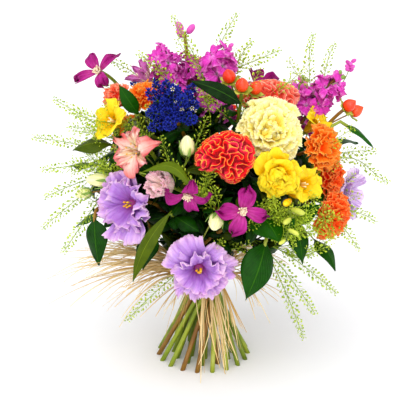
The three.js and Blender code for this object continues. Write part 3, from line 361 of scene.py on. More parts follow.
def colour(code):
    """A colour written as the screen shows it, as the linear numbers that materials take."""
    parts = [int(code[i:i + 2], 16) / 255 for i in (1, 3, 5)]
    return [c / 12.92 if c <= 0.04045 else ((c + 0.055) / 1.055) ** 2.4 for c in parts] + [1]


def wire(tree, node, inputs):
    """Sets a node's inputs, by name or number, to a number, a colour code, or what another node gives."""
    for name, value in inputs.items():
        named = [s for k, s in enumerate(node.inputs) if k == name or (s.enabled and s.name == name)]
        if isinstance(value, bpy.types.Node):
            value = next(s for s in value.outputs if s.enabled)
        if isinstance(value, bpy.types.NodeSocket):
            tree.links.new(value, named[0])
        else:
            named[0].default_value = colour(value) if isinstance(value, str) else value
    return node


def add(tree, kind, inputs=(), stops=(), **settings):
    """Adds a node with its settings, its inputs, and the stops of a colour ramp."""
    node = tree.nodes.new("ShaderNode" + kind)
    for setting, value in settings.items():
        setattr(node, setting, value)
    for k, (place, code) in enumerate(stops):
        ramp = node.color_ramp.elements
        stop = ramp[k] if k < len(ramp) else ramp.new(place)
        stop.position = place
        stop.color = colour(code)
    return wire(tree, node, dict(inputs))


def material(name):
    """A new material, its node tree, and its surface node."""
    made = bpy.data.materials.new(name)
    made.use_nodes = True
    return made, made.node_tree, made.node_tree.nodes["Principled BSDF"]


def fresh():
    """An empty mesh whose points carry a tint from 0 to 1, which varies the colour from piece to piece."""
    bm = bmesh.new()
    bm.loops.layers.uv.new("UVMap")
    bm.verts.layers.float.new("tint")
    return bm


def sheet(bm, columns, rows, shape, tint=0.5, look=0, thick=0):
    """A curved sheet: shape(u, v) gives each point, for u across from -1 to 1 and v along from 0 to 1."""
    points = bmesh.ops.create_grid(bm, x_segments=columns, y_segments=rows, size=1, calc_uvs=True)["verts"]
    faces = list(dict.fromkeys(face for point in points for face in point.link_faces))
    tints = bm.verts.layers.float["tint"]
    for point in points:
        point[tints] = tint
        point.co = shape(point.co.x, (point.co.y + 1) / 2)
    for face in faces:
        face.material_index = look
        face.smooth = True
        face.normal_update()
    if thick:
        for point in points:
            point.normal_update()
        bmesh.ops.extrude_face_region(bm, geom=faces, use_keep_orig=True)
        for point in points:
            point.co -= point.normal * thick
    return points


def closed(bm, points, look):
    """Joins the sides of a sheet that was rolled up, and fills its open ends."""
    bmesh.ops.remove_doubles(bm, verts=points, dist=1e-3)
    left = [point for point in points if point.is_valid]
    rims = dict.fromkeys(edge for point in left for edge in point.link_edges if edge.is_boundary)
    if rims:
        for face in bmesh.ops.holes_fill(bm, edges=list(rims))["faces"]:
            face.material_index = look


def tube(bm, centres, radii, sides=8, tint=0.5, look=0, on_floor=False):
    """A round tube through the centres. One that stands on the floor is cut flat there."""
    last = len(centres) - 1
    ahead = [(centres[min(k + 1, last)] - centres[max(k - 1, 0)]).normalized() for k in range(last + 1)]
    side = [ahead[0].orthogonal().normalized()]
    for k in range(last):
        side.append((ahead[k].rotation_difference(ahead[k + 1]) @ side[k]).normalized())

    def shape(u, v):
        k = round(v * last)
        out = side[k] * math.cos(math.pi * u) + ahead[k].cross(side[k]) * math.sin(math.pi * u)
        point = centres[k] + out * radii[k]
        return point - ahead[k] * (point.z / ahead[k].z) if on_floor and k == 0 else point

    closed(bm, sheet(bm, sides, last, shape, tint, look), look)


def along(values, share):
    """A smooth value between evenly spaced ones, at a share of the way from the first to the last."""
    last = len(values) - 1
    place = min(max(share, 0), 1) * last
    k = min(int(place), last - 1)
    a, b, c, d = (values[min(max(k + step, 0), last)] for step in (-1, 0, 1, 2))
    t = place - k
    return b + 0.5 * t * (c - a + t * (2 * a - 5 * b + 4 * c - d + t * (3 * (b - c) + d - a)))


def graded(values, steps, size):
    """Sizes that follow the values smoothly, one for each point of as many steps."""
    return [size * along(values, k / steps) for k in range(steps + 1)]


def piece_of(name, bm, *materials):
    """The piece that a mesh makes, in metres, with its faces outwards, riding on the bouquet."""
    bmesh.ops.recalc_face_normals(bm, faces=bm.faces)
    bmesh.ops.scale(bm, vec=(MM, MM, MM), verts=bm.verts)
    mesh = bpy.data.meshes.new(name)
    bm.to_mesh(mesh)
    bm.free()
    for look in materials:
        mesh.materials.append(look)
    piece = bpy.data.objects.new(name, mesh)
    bpy.context.collection.objects.link(piece)
    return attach(piece, "root")


def stalk_material():
    """Fresh cut stalks: fine green fibres along the stem, from olive brown to light green, satin."""
    made, tree, surface = material("green stalk")
    uv = add(tree, "UVMap", uv_map="UVMap")
    fibres = add(tree, "Mapping", {"Vector": uv, "Scale": (26, 3, 1)})
    streaks = add(tree, "TexNoise", {"Vector": fibres, "Scale": 2, "Detail": 4})
    place = add(tree, "TexCoord").outputs["Object"]
    patches = add(tree, "TexNoise", {"Vector": place, "Scale": 1000 / 17, "Detail": 2})
    tint = add(tree, "Attribute", attribute_name="tint")
    varied = add(tree, "Math", {0: patches, 1: 0.6, 2: -0.3}, operation="MULTIPLY_ADD")
    age = add(tree, "Math", {0: tint, 1: varied}, operation="ADD")
    base = add(tree, "ValToRGB", {"Fac": age}, stops=[
        (0.0, "#8c5a0a"), (0.2, "#ae7e1c"), (0.3, "#6c8608"), (0.6, "#90a814"), (0.85, "#b6c430"),
        (1.0, "#d0d868")])
    fine = add(tree, "ValToRGB", {"Fac": streaks}, stops=[(0.3, "#b4b498"), (0.7, "#ffffff")])
    tinted = add(tree, "Mix", {"Factor": 1, "A": base, "B": fine}, data_type="RGBA", blend_type="MULTIPLY")
    bump = add(tree, "Bump", {"Height": streaks, "Strength": 0.25, "Distance": 0.0004})
    wire(tree, surface, {"Base Color": tinted, "Normal": bump, "Roughness": 0.5, "Subsurface Weight": 0.1,
                         "Subsurface Radius": (0.002, 0.003, 0.001)})
    return made


STALK = stalk_material()


def stem_of(name, plant, bm, tint):
    """A whole cut stem with its side shoots, in one mesh: thickest at its foot, with a few knots."""
    upper = plant.paths[0]
    low = [plant.foot.lerp(plant.shoulder, k / 8) for k in range(8)]
    centres = low + upper.points(22)
    radii = graded([1.16, 0.97, 0.97, 0.86, 0.8], 30, STEM_RADIUS)
    for k in random.Random(name).sample(range(4, 24), 4):
        radii[k] *= 1.1
    if plant.shoots[0].name:
        radii[-1] *= 1.35
    tube(bm, centres, radii, 12, tint, on_floor=True)
    for side, path in zip(plant.shoots[1:], plant.paths[1:]):
        if side.bears == "pods":
            continue
        thin, steps, top = (1.6, 14, 1.4) if side.name else (0.95, 10, 0.9)
        tube(bm, path.points(steps), graded([1.25, 1, 0.9, top], steps, thin), 8, tint)


for name, plant in plants.items():
    bm = fresh()
    stem_of(name, plant, bm, random.Random(name + " age").choice([0.1, 0.4, 0.5, 0.6, 0.7, 0.85]))
    piece = piece_of(name + "_stalk", bm, STALK)
    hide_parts(name)

# Lisianthus
# Broad ruffled bells of thin silky petals, lilac with a magenta throat, one pale and one dusty pink. Each
# sits on the end of a forked stalk in five narrow green sepals, with cream buds beside it.

SLOPE_STEP = 0.03  # the share of a petal's length over which its slope is taken, on either side

noise.seed_set(3)  # without it the noise would differ from run to run


def petal(bm, middle, out, up, half, draw, grid=(12, 12), wrap=1.0, notch=0.2, blunt=3.0, ruffle=0.0,
          folds=3, frill=0.0, waves=6, ragged=0.0, cup=0.0, sway=0.0, rough=0.0, thick=0.4, look=0):
    """One petal of a bloom on +Z. out, up and half are its distance from the axis, its height and half its
    width, from its foot to its tip. It wraps round the axis or lies flat. Its folds, its frill and its rough
    unevenness grow towards the tip."""
    turn, phase, side_sway = math.radians(middle), draw.random() * 6.3, draw.uniform(-sway, sway)
    radial = polar(turn, 1)
    flat = UP.cross(radial)
    drift = Vector((draw.random() * 50, 0, 0))

    def shape(u, v):
        tooth = ragged * (1 + math.sin(1.3 * waves * math.pi * u + phase))
        share = v * (1 - notch * abs(u) ** blunt - tooth)
        before, after = share - SLOPE_STEP, share + SLOPE_STEP
        r, z, w = along(out, share), along(up, share), along(half, share)
        rise = Vector((along(out, after) - along(out, before), 0, along(up, after) - along(up, before)))
        rise.normalize()
        wave = ruffle * math.sin(folds * math.pi * u + phase) * v
        wave += frill * math.sin(waves * math.pi * u + 2 * phase) * v**3 + cup * u * u
        side = u * w + side_sway * v
        spot = Matrix.Rotation(wrap * side / max(r, 2.5), 3, "Z") @ radial * (r - rise.z * wave * v)
        spread = Vector((u * 1.3, v * 1.6, 0)) + drift
        uneven = (noise.noise_vector(spread) + noise.noise_vector(spread * 3.1) * 0.4) * rough * v
        return spot + flat * (1 - wrap) * side + UP * (z + rise.x * wave * v) + uneven

    sheet(bm, *grid, shape, draw.random(), look, thick)


def shares_of(size, *shares):
    """Each of the shares of a size."""
    return [size * share for share in shares]


def stamp(bm, part, place, tint=None):
    """Adds a copy of a small mesh at a place, with a tint of its own if one is given."""
    copy = part.copy()
    copy.transform(place)
    if tint is not None:
        copy.attributes["tint"].data.foreach_set("value", [tint] * len(copy.vertices))
    bm.from_mesh(copy)
    bpy.data.meshes.remove(copy)


def small_mesh(bm):
    """A small mesh that is stamped many times. It stays in millimetres."""
    bmesh.ops.recalc_face_normals(bm, faces=bm.faces)
    mesh = bpy.data.meshes.new("part")
    bm.to_mesh(mesh)
    bm.free()
    return mesh


def blob(bm, place, look=0, tint=0.5, subdivisions=2):
    """A round body: a ball of radius 1 under the matrix place."""
    points = bmesh.ops.create_icosphere(bm, subdivisions=subdivisions, radius=1, matrix=place)["verts"]
    tints = bm.verts.layers.float["tint"]
    for point in points:
        point[tints] = tint
        for face in point.link_faces:
            face.material_index = look
            face.smooth = True


def turned(bm, outs, ups, sides=16, rows=10, look=0, tint=0.5, folds=0, fold=0.0, twist=0.0):
    """A round body on +Z. Its half widths and heights start and end on the axis, and folds may run up it."""
    def shape(u, v):
        r = max(along(outs, v), 0) * (1 + fold * math.sin(folds * (math.pi * u + twist * v)))
        return polar(math.pi * u, r, along(ups, v))

    closed(bm, sheet(bm, sides, rows, shape, tint, look), look)


def facing(at, face, spin=0, size=1):
    """The matrix that sets a part's +Z along a direction, with its +Y as far upwards as it goes."""
    right = UP.cross(face).normalized()
    turn = Matrix((right, face.cross(right), face)).transposed().to_4x4()
    return Matrix.Translation(at) @ turn @ Matrix.Rotation(math.radians(spin), 4, "Z") @ Matrix.Scale(size, 4)


def petal_material(name, stops, streaks="#d8d0dc", tint_to="#ffffff", veins=34, roughness=0.6, glow=0.45,
                   soft=1.0):
    """Silky petal tissue, coloured from its foot to its rim by the stops, in clouds of about 9 mm. Fine
    streaks run out to the rim, and each petal leans towards tint_to by its own amount. Light spreads about
    soft millimetres in it."""
    made, tree, surface = material(name)
    uv = add(tree, "UVMap", uv_map="UVMap")
    parts = add(tree, "SeparateXYZ", {"Vector": uv})
    place = add(tree, "TexCoord").outputs["Object"]
    cloud = add(tree, "TexNoise", {"Vector": place, "Scale": 1000 / 9, "Detail": 3})
    shifted = add(tree, "Math", {0: cloud, 1: 0.36, 2: -0.18}, operation="MULTIPLY_ADD")
    reach = add(tree, "Math", {0: parts.outputs["Y"], 1: shifted}, operation="ADD")
    base = add(tree, "ValToRGB", {"Fac": reach}, stops=stops)
    lines = add(tree, "Mapping", {"Vector": uv, "Scale": (veins, 1.6, 1)})
    vein = add(tree, "TexNoise", {"Vector": lines, "Scale": 1, "Detail": 3, "Roughness": 0.6})
    fine = add(tree, "ValToRGB", {"Fac": vein}, stops=[(0.35, streaks), (0.62, "#ffffff")])
    streaked = add(tree, "Mix", {"Factor": 1, "A": base, "B": fine}, data_type="RGBA", blend_type="MULTIPLY")
    tint = add(tree, "Attribute", attribute_name="tint")
    share = add(tree, "Math", {0: tint, 1: 0.4}, operation="MULTIPLY")
    tinted = add(tree, "Mix", {"Factor": share, "A": streaked, "B": tint_to}, data_type="RGBA",
                 blend_type="MULTIPLY")
    bump = add(tree, "Bump", {"Height": vein, "Strength": 0.3, "Distance": 0.0005})
    wire(tree, surface, {"Base Color": tinted, "Normal": bump, "Roughness": roughness,
                         "Subsurface Weight": glow, "Subsurface Radius": (0.0012, 0.0009, 0.001),
                         "Subsurface Scale": soft, "Specular IOR Level": 0.2})
    return made


def plain_tissue(name, dark, light, grain=3, roughness=0.5):
    """Plant tissue of one colour that is mottled at the given grain in millimetres."""
    made, tree, surface = material(name)
    place = add(tree, "TexCoord").outputs["Object"]
    mottle = add(tree, "TexNoise", {"Vector": place, "Scale": 1000 / grain, "Detail": 3})
    tint = add(tree, "Attribute", attribute_name="tint")
    share = add(tree, "Math", {0: tint, 1: 0.5}, operation="MULTIPLY")
    mixed = add(tree, "Math", {0: mottle, 1: 0.5, 2: share}, operation="MULTIPLY_ADD")
    base = add(tree, "ValToRGB", {"Fac": mixed}, stops=[(0.2, dark), (0.75, light)])
    bump = add(tree, "Bump", {"Height": mottle, "Strength": 0.3, "Distance": 0.0004})
    wire(tree, surface, {"Base Color": base, "Normal": bump, "Roughness": roughness,
                         "Subsurface Weight": 0.15, "Subsurface Radius": (0.002, 0.002, 0.001),
                         "Subsurface Scale": 1.0})
    return made


GREEN = plain_tissue("pale green sepal", "#5f8a2e", "#9cc256")
POLLEN = plain_tissue("yellow pollen", "#e08c08", "#ffd83a", 1, 0.8)
CREAM = petal_material("cream bud petal", [(0, "#b4cc60"), (0.3, "#f0f0b4"), (1, "#fbf8d2")], "#ecebc0")
LILAC = petal_material("lilac lisianthus petal", [
    (0, "#b0488c"), (0.12, "#b0509c"), (0.28, "#ac5eb8"), (0.5, "#aa74ca"), (0.78, "#c8a0e2"),
    (1, "#ecc8e8")], "#ecdcf0", "#fadcea", 14)
PALE_LILAC = petal_material("pale lilac lisianthus petal", [
    (0, "#efe8d8"), (0.15, "#c49ccc"), (0.5, "#dcc4ea"), (1, "#ecdcf4")], "#c0a0d2", "#f8ecf6", 14)
BLUSH = petal_material("dusty pink lisianthus petal", [
    (0, "#e4e0a8"), (0.3, "#f8e4d4"), (0.7, "#fae0de"), (1, "#f0bccc")],
                       "#f4e0e2", "#fdf2f2", 18, 0.6, 0.3, 0.6)
OUTER_PETALS = {  # the angle of each, as seen from the front, and its length as a share of the flower's reach
    "lisianthus_left": [(84, 1.06), (144, 0.92), (204, 0.86), (256, 1.18), (324, 0.62), (24, 0.68)],
    "lisianthus_front": [(122, 1.3), (168, 0.8), (216, 0.84), (266, 0.96), (314, 0.88), (356, 0.82),
                         (36, 1.04)],
    "lisianthus_right": [(60, 1.1), (150, 1), (240, 1.1), (330, 1)],
}
NOD = {  # how many degrees a flower nods and swings on its stalk
    "lisianthus_front": (16, 0), "lisianthus_right": (0, -24),
}


def sepals(bm, first, outs, ups, halves, draw):
    """Five narrow green sepals round the foot of a flower or a bud."""
    for k in range(5):
        petal(bm, first + k * 72, outs, ups, halves, draw, (4, 8), notch=0.05, look=1)


def lisianthus(head, draw):
    """A bell of overlapping ruffled petals in two rounds, with stamens and sepals."""
    bm, reach, depth = fresh(), head.reach, head.depth
    blush, right = head.name == "lisianthus_blush", head.name == "lisianthus_right"
    evenly = [(k * 60 + draw.uniform(-9, 9), draw.uniform(0.86, 1.08)) for k in range(6)]
    crisp = reach * (0.35 if right else 1)
    edge = {"ruffle": crisp * 0.13, "folds": 3, "notch": 0.18, "blunt": 2.4, "ragged": 0.015, "wrap": 0.5,
            "sway": 5}
    for angle, length in OUTER_PETALS.get(head.name, evenly):
        tip = reach * length * (0.85 if blush else 1)
        petal(bm, angle, [3.5, reach * (0.7 if blush else 0.3), tip * (0.95 if blush else 0.66), tip],
              shares_of(depth, 0, 0.3 if blush else 0.5, 0.8, draw.uniform(0.6, 1.05)),
              [2.5, *shares_of(reach, 0.36, 0.66, 0.76)], draw, (48, 16), frill=crisp * 0.06, waves=12,
              rough=crisp * 0.16, **edge)
    for k in range(4):
        tip = reach * draw.uniform(0.56, 0.86)
        petal(bm, 40 + k * 90 + draw.uniform(-16, 16), [3, reach * 0.18, tip * 0.7, tip],
              shares_of(depth, 0, 0.5, 0.9, draw.uniform(0.95, 1.15)),
              [2, *shares_of(reach, 0.24, 0.48, 0.6)], draw, (42, 14), frill=crisp * 0.05, waves=10,
              rough=crisp * 0.19, **edge)
    blob(bm, aimed((0, 0, depth * 0.36), UP, 0, (reach * 0.16, reach * 0.16, depth * 0.16)))
    for k in range(0 if blush else 6):
        lean = polar(k + draw.random(), draw.uniform(0.04, 0.2), 1)
        stalk = [lean * (depth * t) for t in (0.2, 0.5, draw.uniform(0.66, 0.8))]
        tube(bm, stalk, [0.5, 0.4, 0.35], 5, 0.6, 1)
        blob(bm, aimed(stalk[-1], lean, 0, (1.8, 1.3, 2.8)), 2, 0.8 * draw.random(), 1)
    sepals(bm, 20, [2.8, 4.6, 7, 9.5], [-0.2, *shares_of(depth, 0.1, 0.3, 0.5)], [1.4, 1.6, 1.1, 0.2], draw)
    return bm


def bud(reach, depth, draw):
    """A closed bud: its petals are rolled to a blunt point, in narrow sepals."""
    bm = fresh()
    turned(bm, shares_of(reach, 0, 0.7, 1, 0.9, 0.5, 0), shares_of(depth, 0, 0.1, 0.35, 0.6, 0.88, 1),
           18, 14, 0, draw.random(), 5, 0.07, 2.2)
    sepals(bm, 0, shares_of(reach, 0.3, 0.85, 1.12, 1.3), shares_of(depth, 0, 0.1, 0.34, 0.62),
           [1, reach * 0.24, reach * 0.2, 0.2], draw)
    return bm


def blooms_of(kind, form):
    """The place and shape of each bloom of a kind that is a node of its own."""
    for plant in plants.values():
        for head in plant.shoots:
            if head.bears == kind and head.name:
                bm = form(head, random.Random(head.name))
                nod, swing = NOD.get(head.name, (0, 0))
                face = Matrix.Rotation(math.radians(nod), 3, "X") @ head.face
                face = Matrix.Rotation(math.radians(swing), 3, "Z") @ face
                bmesh.ops.transform(bm, matrix=facing(head.foot, face, head.spin), verts=bm.verts)
                yield head, bm


for head, bm in blooms_of("lisianthus", lisianthus):
    look = {"lisianthus_blush": BLUSH, "lisianthus_right": PALE_LILAC}.get(head.name, LILAC)
    piece = piece_of(head.name + "_petals", bm, look, GREEN, POLLEN)
    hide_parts(head.name)

for name, plant in plants.items():
    buds = [head for head in plant.shoots if head.bears == "bud"]
    if buds:
        bm, draw = fresh(), random.Random(name + " buds")
        for head in buds:
            stamp(bm, small_mesh(bud(head.reach, head.depth, draw)), head.place)
        piece = piece_of(name + "_buds", bm, CREAM, GREEN)
        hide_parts(name)

# Carnations
# Domes of many thin frilled petals with cut teeth, in a smooth green cup on a stiff stalk. The large ones in
# front and behind are lemon, and the others are orange, scarlet and coral.

GOLDEN_ANGLE = 137.5  # degrees, from one petal or twig to the next where they are crowded evenly
LEMON = petal_material("lemon carnation petal", [
    (0, "#ffd020"), (0.4, "#ffe250"), (0.75, "#fff08a"), (1, "#fff9cc")],
                       "#fff8d8", "#fffbe8", 14, 0.65, 0.3, 0.6)
ORANGE = petal_material("orange carnation petal", [
    (0, "#f84400"), (0.5, "#ff6402"), (0.85, "#ff7e10"), (1, "#ffa648")], "#fff0e0", "#fff0c8", 14, 0.65, 0.6)
SCARLET = petal_material("scarlet carnation petal", [
    (0, "#f42400"), (0.5, "#ff4400"), (0.85, "#ff6010"), (1, "#ff9044")], "#fff0e8", "#fff0e0", 14, 0.65, 0.6)
CORAL = petal_material("coral carnation petal", [
    (0, "#d83c28"), (0.5, "#fa5c3c"), (0.85, "#ff7c58"), (1, "#ffac90")], "#fedcd0", "#ffe0c8", 14, 0.65)
CALYX = plain_tissue("smooth green cup", "#5d8340", "#8fb068", 4, 0.4)


def carnation(head, draw):
    """A dome of broad ruffled petals, crowded from the middle outwards, out of a green cup. The first five
    stand up in the middle. A large flower has more petals, and calmer ones."""
    bm, reach, depth = fresh(), head.reach * (1.2 if head.name == "carnation_scarlet" else 1.06), head.depth
    count, calm = (46, 0.8) if reach > 30 else (34, 1)
    for k in range(count):
        share = math.sqrt((k + 0.5) / count)
        tip = reach * (0.02 + 1.02 * share) * draw.uniform(0.92, 1.06)
        outs = [2, *shares_of(reach, 0.15, 0.12, -0.05)] if k < 5 else [1, 1 + tip * 0.24, tip * 0.74, tip]
        top = depth * (1.08 - 0.5 * share**2.6) * draw.uniform(0.97, 1.03)
        petal(bm, GOLDEN_ANGLE * k + draw.uniform(-14, 14), outs,
              [depth * 0.3, depth * 0.52, top - depth * 0.05, top],
              [1.5, *shares_of(reach, 0.2, 0.28 + 0.12 * share, 0.3 + 0.24 * share)], draw, (30, 8), wrap=0.4,
              notch=0.12, blunt=2.4, ruffle=reach * 0.08 * calm, folds=draw.choice([2, 3]),
              frill=reach * 0.04, waves=9, ragged=0.02, sway=6, rough=reach * 0.1 * calm, thick=0.35)
    blob(bm, aimed((0, 0, depth * 0.46), UP, 0, (reach * 0.62, reach * 0.62, depth * 0.3)), 0, 0.2, 3)
    turned(bm, [0, 3.2, 5, 5.6, 6.5, 4, 0], shares_of(depth, 0, 0, 0.12, 0.3, 0.46, 0.46, 0.44), 20, 12, 1)
    return bm


CARNATIONS = {
    "carnation_lemon": (LEMON, "carnation_lemon"),
    "carnation_back_lemon": (LEMON, "carnation_lemon"),
    "carnation_scarlet": (SCARLET, "carnation_scarlet"),
    "carnation_orange_lower": (SCARLET, "carnation_orange"),
    "carnation_coral_left": (CORAL, "carnation_scarlet"),
}
for head, bm in blooms_of("carnation", carnation):
    look, slot = CARNATIONS.get(head.name, (ORANGE, "carnation_orange"))
    piece = piece_of(head.name + "_petals", bm, look, CALYX)
    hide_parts(head.name)

# Cockscomb
# A thick velvety crest folded on itself like a brain. Two are scarlet with an orange crest line and one is
# coral, and each fleshy head grows out of the top of its stalk.

FOLD_PITCH = 6.2  # from one crest line to the next
FOLD_DEPTH = 5
HOLLOW_AT = 3.75  # radians round the head, where its outline draws in


def cockscomb_material(name, valley_shade, side, pink, crest):
    """Velvet of tiny florets with a paler crest line, and painted shade that darkens the valleys."""
    made, tree, surface = material(name)
    fold = add(tree, "Attribute", attribute_name="crest")
    place = add(tree, "TexCoord").outputs["Object"]
    florets = add(tree, "TexVoronoi", {"Vector": place, "Scale": 1000 / 1.1}, feature="F1")
    patches = add(tree, "TexNoise", {"Vector": place, "Scale": 1000 / 16, "Detail": 2})
    flush = add(tree, "MapRange", {"Value": patches, "From Min": 0.42, "From Max": 0.62})
    folds = add(tree, "Mix", {"Factor": flush, "A": side, "B": pink}, data_type="RGBA")
    rough = add(tree, "Math", {0: florets, 1: 0.2, 2: -0.1}, operation="MULTIPLY_ADD")
    height = add(tree, "Math", {0: fold, 1: rough}, operation="ADD")
    # Painted shade: where the ridge height is low, in the valleys and on the underside of the head, the colour
    # turns to the dark valley colour.
    depth = add(tree, "MapRange", {"Value": height, "From Min": -0.02, "From Max": 0.2})
    shaded = add(tree, "Mix", {"Factor": depth, "A": valley_shade, "B": folds}, data_type="RGBA")
    line = add(tree, "MapRange", {"Value": height, "From Min": 0.66, "From Max": 0.82})
    base = add(tree, "Mix", {"Factor": line, "A": shaded, "B": crest}, data_type="RGBA")
    bump = add(tree, "Bump", {"Height": florets, "Strength": 0.6, "Distance": 0.0006}, invert=True)
    wire(tree, surface, {"Base Color": base, "Normal": bump, "Roughness": 0.75, "Subsurface Weight": 0.2,
                         "Subsurface Radius": (0.003, 0.001, 0.001), "Subsurface Scale": 1.0,
                         "Specular IOR Level": 0.2})
    return made


# The first colour of each velvet is the painted shade of its valleys.
RED_CREST = cockscomb_material("scarlet cockscomb velvet", "#80000e", "#f01418", "#ec2c52", "#ff9c3c")
CORAL_CREST = cockscomb_material("coral cockscomb velvet", "#c43020", "#ff6444", "#ff8478", "#ffc4a4")


def cockscomb(head, seed, hollow):
    """The folded head: a wedge that swells from its stalk, with meandering ridges over its crown. On one side
    its outline may be hollow, like a kidney's."""
    bm = fresh()
    bmesh.ops.create_icosphere(bm, subdivisions=7, radius=1)
    crest = bm.verts.layers.float.new("crest")
    drift = Vector((seed * 17.3, seed * 5.1, seed * 9.7))
    for point in bm.verts:
        p = point.co.copy()
        aside = math.remainder(math.atan2(p.y, p.x) - HOLLOW_AT, math.tau)
        lobes = 1 + 0.08 * noise.noise(p * 2.6 + drift) - hollow * math.exp(-((aside / 0.6) ** 2))
        wide = head.reach * min(0.2 + (1 + p.z), 1) * lobes
        base = Vector((p.x * wide, p.y * head.across * wide, head.depth * (0.5 + 0.5 * p.z)))
        wander = noise.noise_vector(base * 0.11 + drift) * 4.5
        q = (base + wander) * (math.pi / FOLD_PITCH)
        level = math.sin(q.x) * math.cos(q.y) + math.sin(q.y) * math.cos(q.z) + math.sin(q.z) * math.cos(q.x)
        ridge, line = math.exp(-((level / 0.6) ** 2)), math.exp(-((level / 0.3) ** 2))
        crown = min(max((p.z + 0.75) * 2, 0), 1)
        rough = noise.noise(base * 0.9) * 0.5
        out = Vector((p.x, p.y, p.z * 0.8)).normalized()
        point.co = base + out * crown * (FOLD_DEPTH * (ridge - 0.6) + rough)
        # crest holds the ridge height, which sets the painted shade in the valleys and the paler crest line;
        # it is 0 on the underside of the head.
        point[crest] = (0.3 * ridge + 0.7 * line) * crown
    for face in bm.faces:
        face.smooth = True
    bmesh.ops.transform(bm, matrix=facing(head.foot, head.face, head.spin), verts=bm.verts)
    return bm


COCKSCOMBS = [("cockscomb_front", RED_CREST, 0.52), ("cockscomb_back", RED_CREST, 0.2),
              ("cockscomb_coral", CORAL_CREST, 0)]
for seed, (name, look, hollow) in enumerate(COCKSCOMBS, 1):
    piece = piece_of(name + "_head", cockscomb(plants[name].shoots[0], seed, hollow), look)
    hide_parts(name)

# Freesias
# Waxy yellow funnels of six smooth petals, each on a green foot at the end of a wiry stalk. The one in the
# middle is double.

YELLOW = petal_material("waxy yellow freesia petal", [
    (0, "#d0c030"), (0.2, "#ffb600"), (0.6, "#ffcc02"), (1, "#ffe22c")],
                        "#fdeeb0", "#fff4b0", 12, 0.45, 0.5, 2)


def green_foot(bm, look, outs=(0, 2.2, 2.8, 2.4, 0)):
    """The small green swelling by which a flower sits on its stalk."""
    turned(bm, outs, [-0.2, 0, 3, 7, 7.5], 10, 8, look)


def freesia(head, draw):
    """A funnel that opens in three outer and three inner petals."""
    bm, reach, depth = fresh(), head.reach * (1.2 if head.name == "freesia_left" else 1.12), head.depth
    for k in range(6):
        inner = k % 2
        petal(bm, k * 60 + draw.uniform(-4, 4), [1.5, *shares_of(reach, 0.26, 0.5, 0.9 if inner else 1)],
              shares_of(depth, 0, 0.5, 0.84, 0.96 if inner else 0.9),
              [1.8, *shares_of(reach, 0.3, 0.56, 0.48)], draw, (10, 12), notch=0.2, blunt=2.6, wrap=0.8,
              ruffle=1.4, folds=2, cup=-0.14 * reach, sway=4, rough=6, thick=0.6)
    for k in range(3):
        lean = polar(k * 2.1, 0.1, 1)
        tube(bm, [lean * depth * t for t in (0.4, 0.6, 0.8)], [0.5, 0.45, 0.8], 5, 0.6, 1)
    green_foot(bm, 2)
    return bm


def double_freesia(head, draw):
    """A freesia with four rounds of petals, the inner ones shorter and more upright."""
    bm, reach, depth = fresh(), head.reach * 1.1, head.depth
    rounds = [(6, 1.1, 0.78), (5, 0.8, 0.96), (4, 0.44, 1.02), (3, 0.06, 1.02)]
    for ring, (count, out, up) in enumerate(rounds):
        for k in range(count):
            tip = reach * out * draw.uniform(0.86, 1.08)
            petal(bm, (k + ring / 2) * 360 / count + draw.uniform(-8, 8),
                  [2, reach * 0.2, max(tip * 0.66, reach * 0.2), tip],
                  shares_of(depth, 0, 0.45, up - 0.06, up * draw.uniform(0.94, 1.04)),
                  [1.8, *shares_of(reach, 0.26, 0.5, 0.46)], draw, (10, 12), notch=0.16, blunt=2.6, wrap=0.7,
                  ruffle=2, folds=2, cup=-0.1 * reach, sway=4, rough=5, thick=0.6)
    green_foot(bm, 2)
    return bm


for kind, form in (("freesia", freesia), ("doubleFreesia", double_freesia)):
    for head, bm in blooms_of(kind, form):
        piece = piece_of(head.name + "_petals", bm, YELLOW, CREAM, GREEN)
        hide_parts(head.name)

# Alstroemeria
# One lily-like flower on a slim stalk: three broad salmon pink petals, and three narrow cream ones with
# brownish streaks, round six stamens.

SALMON = petal_material("salmon alstroemeria petal", [
    (0, "#e8e4b0"), (0.4, "#fff2e8"), (0.66, "#fdccc2"), (0.88, "#f69692"), (1, "#ee7074")],
                        "#fcdcd4", "#fff4f0", 12, 0.5)
STREAKED = petal_material("cream striped alstroemeria petal", [
    (0, "#e0d890"), (0.4, "#fdf0b4"), (0.75, "#fde0d0"), (1, "#f8a4a8")], "#c07c6c", "#fff4f0", 8, 0.5)


def alstroemeria(head, draw):
    """An open flower with broad and narrow petals by turns."""
    bm, reach, depth = fresh(), head.reach * 0.94, head.depth
    for k in range(6):
        narrow = k % 2
        petal(bm, k * 60 + draw.uniform(-14, 14),
              [1.5, *shares_of(reach, 0.16, 0.56, 0.9 if narrow else 1.08)],
              shares_of(depth, 0, 0.5, 0.9, 0.94 if narrow else draw.uniform(0.55, 0.9)),
              [1.5, *shares_of(reach, 0.14, 0.3 if narrow else 0.48, 0.3 if narrow else 0.52)],
              draw, (14, 14), notch=0.3, blunt=2, wrap=0.4, ruffle=2.4, folds=3, cup=3, sway=6, rough=7,
              look=narrow)
    for k in range(6):
        lean = polar(k * 1.05, 0.22, 1)
        tube(bm, [lean * depth * t for t in (0.3, 0.6, 0.86)], [0.4, 0.35, 0.3], 5, 0.6, 2)
        blob(bm, aimed(lean * depth * 0.88, lean, 0, (0.9, 0.9, 1.6)), 3, 0.3, 1)
    green_foot(bm, 4, (0, 2.4, 3, 2.2, 0))
    return bm


for head, bm in blooms_of("alstroemeria", alstroemeria):
    piece = piece_of(head.name + "_petals", bm, SALMON, STREAKED, CREAM, POLLEN, GREEN)
    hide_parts(head.name)

# Clematis
# Nodding stars of four pointed magenta petals with recurved tips, round a brush of cream stamens, on thin
# stalks. The deep one at the left is rose pink and half closed.

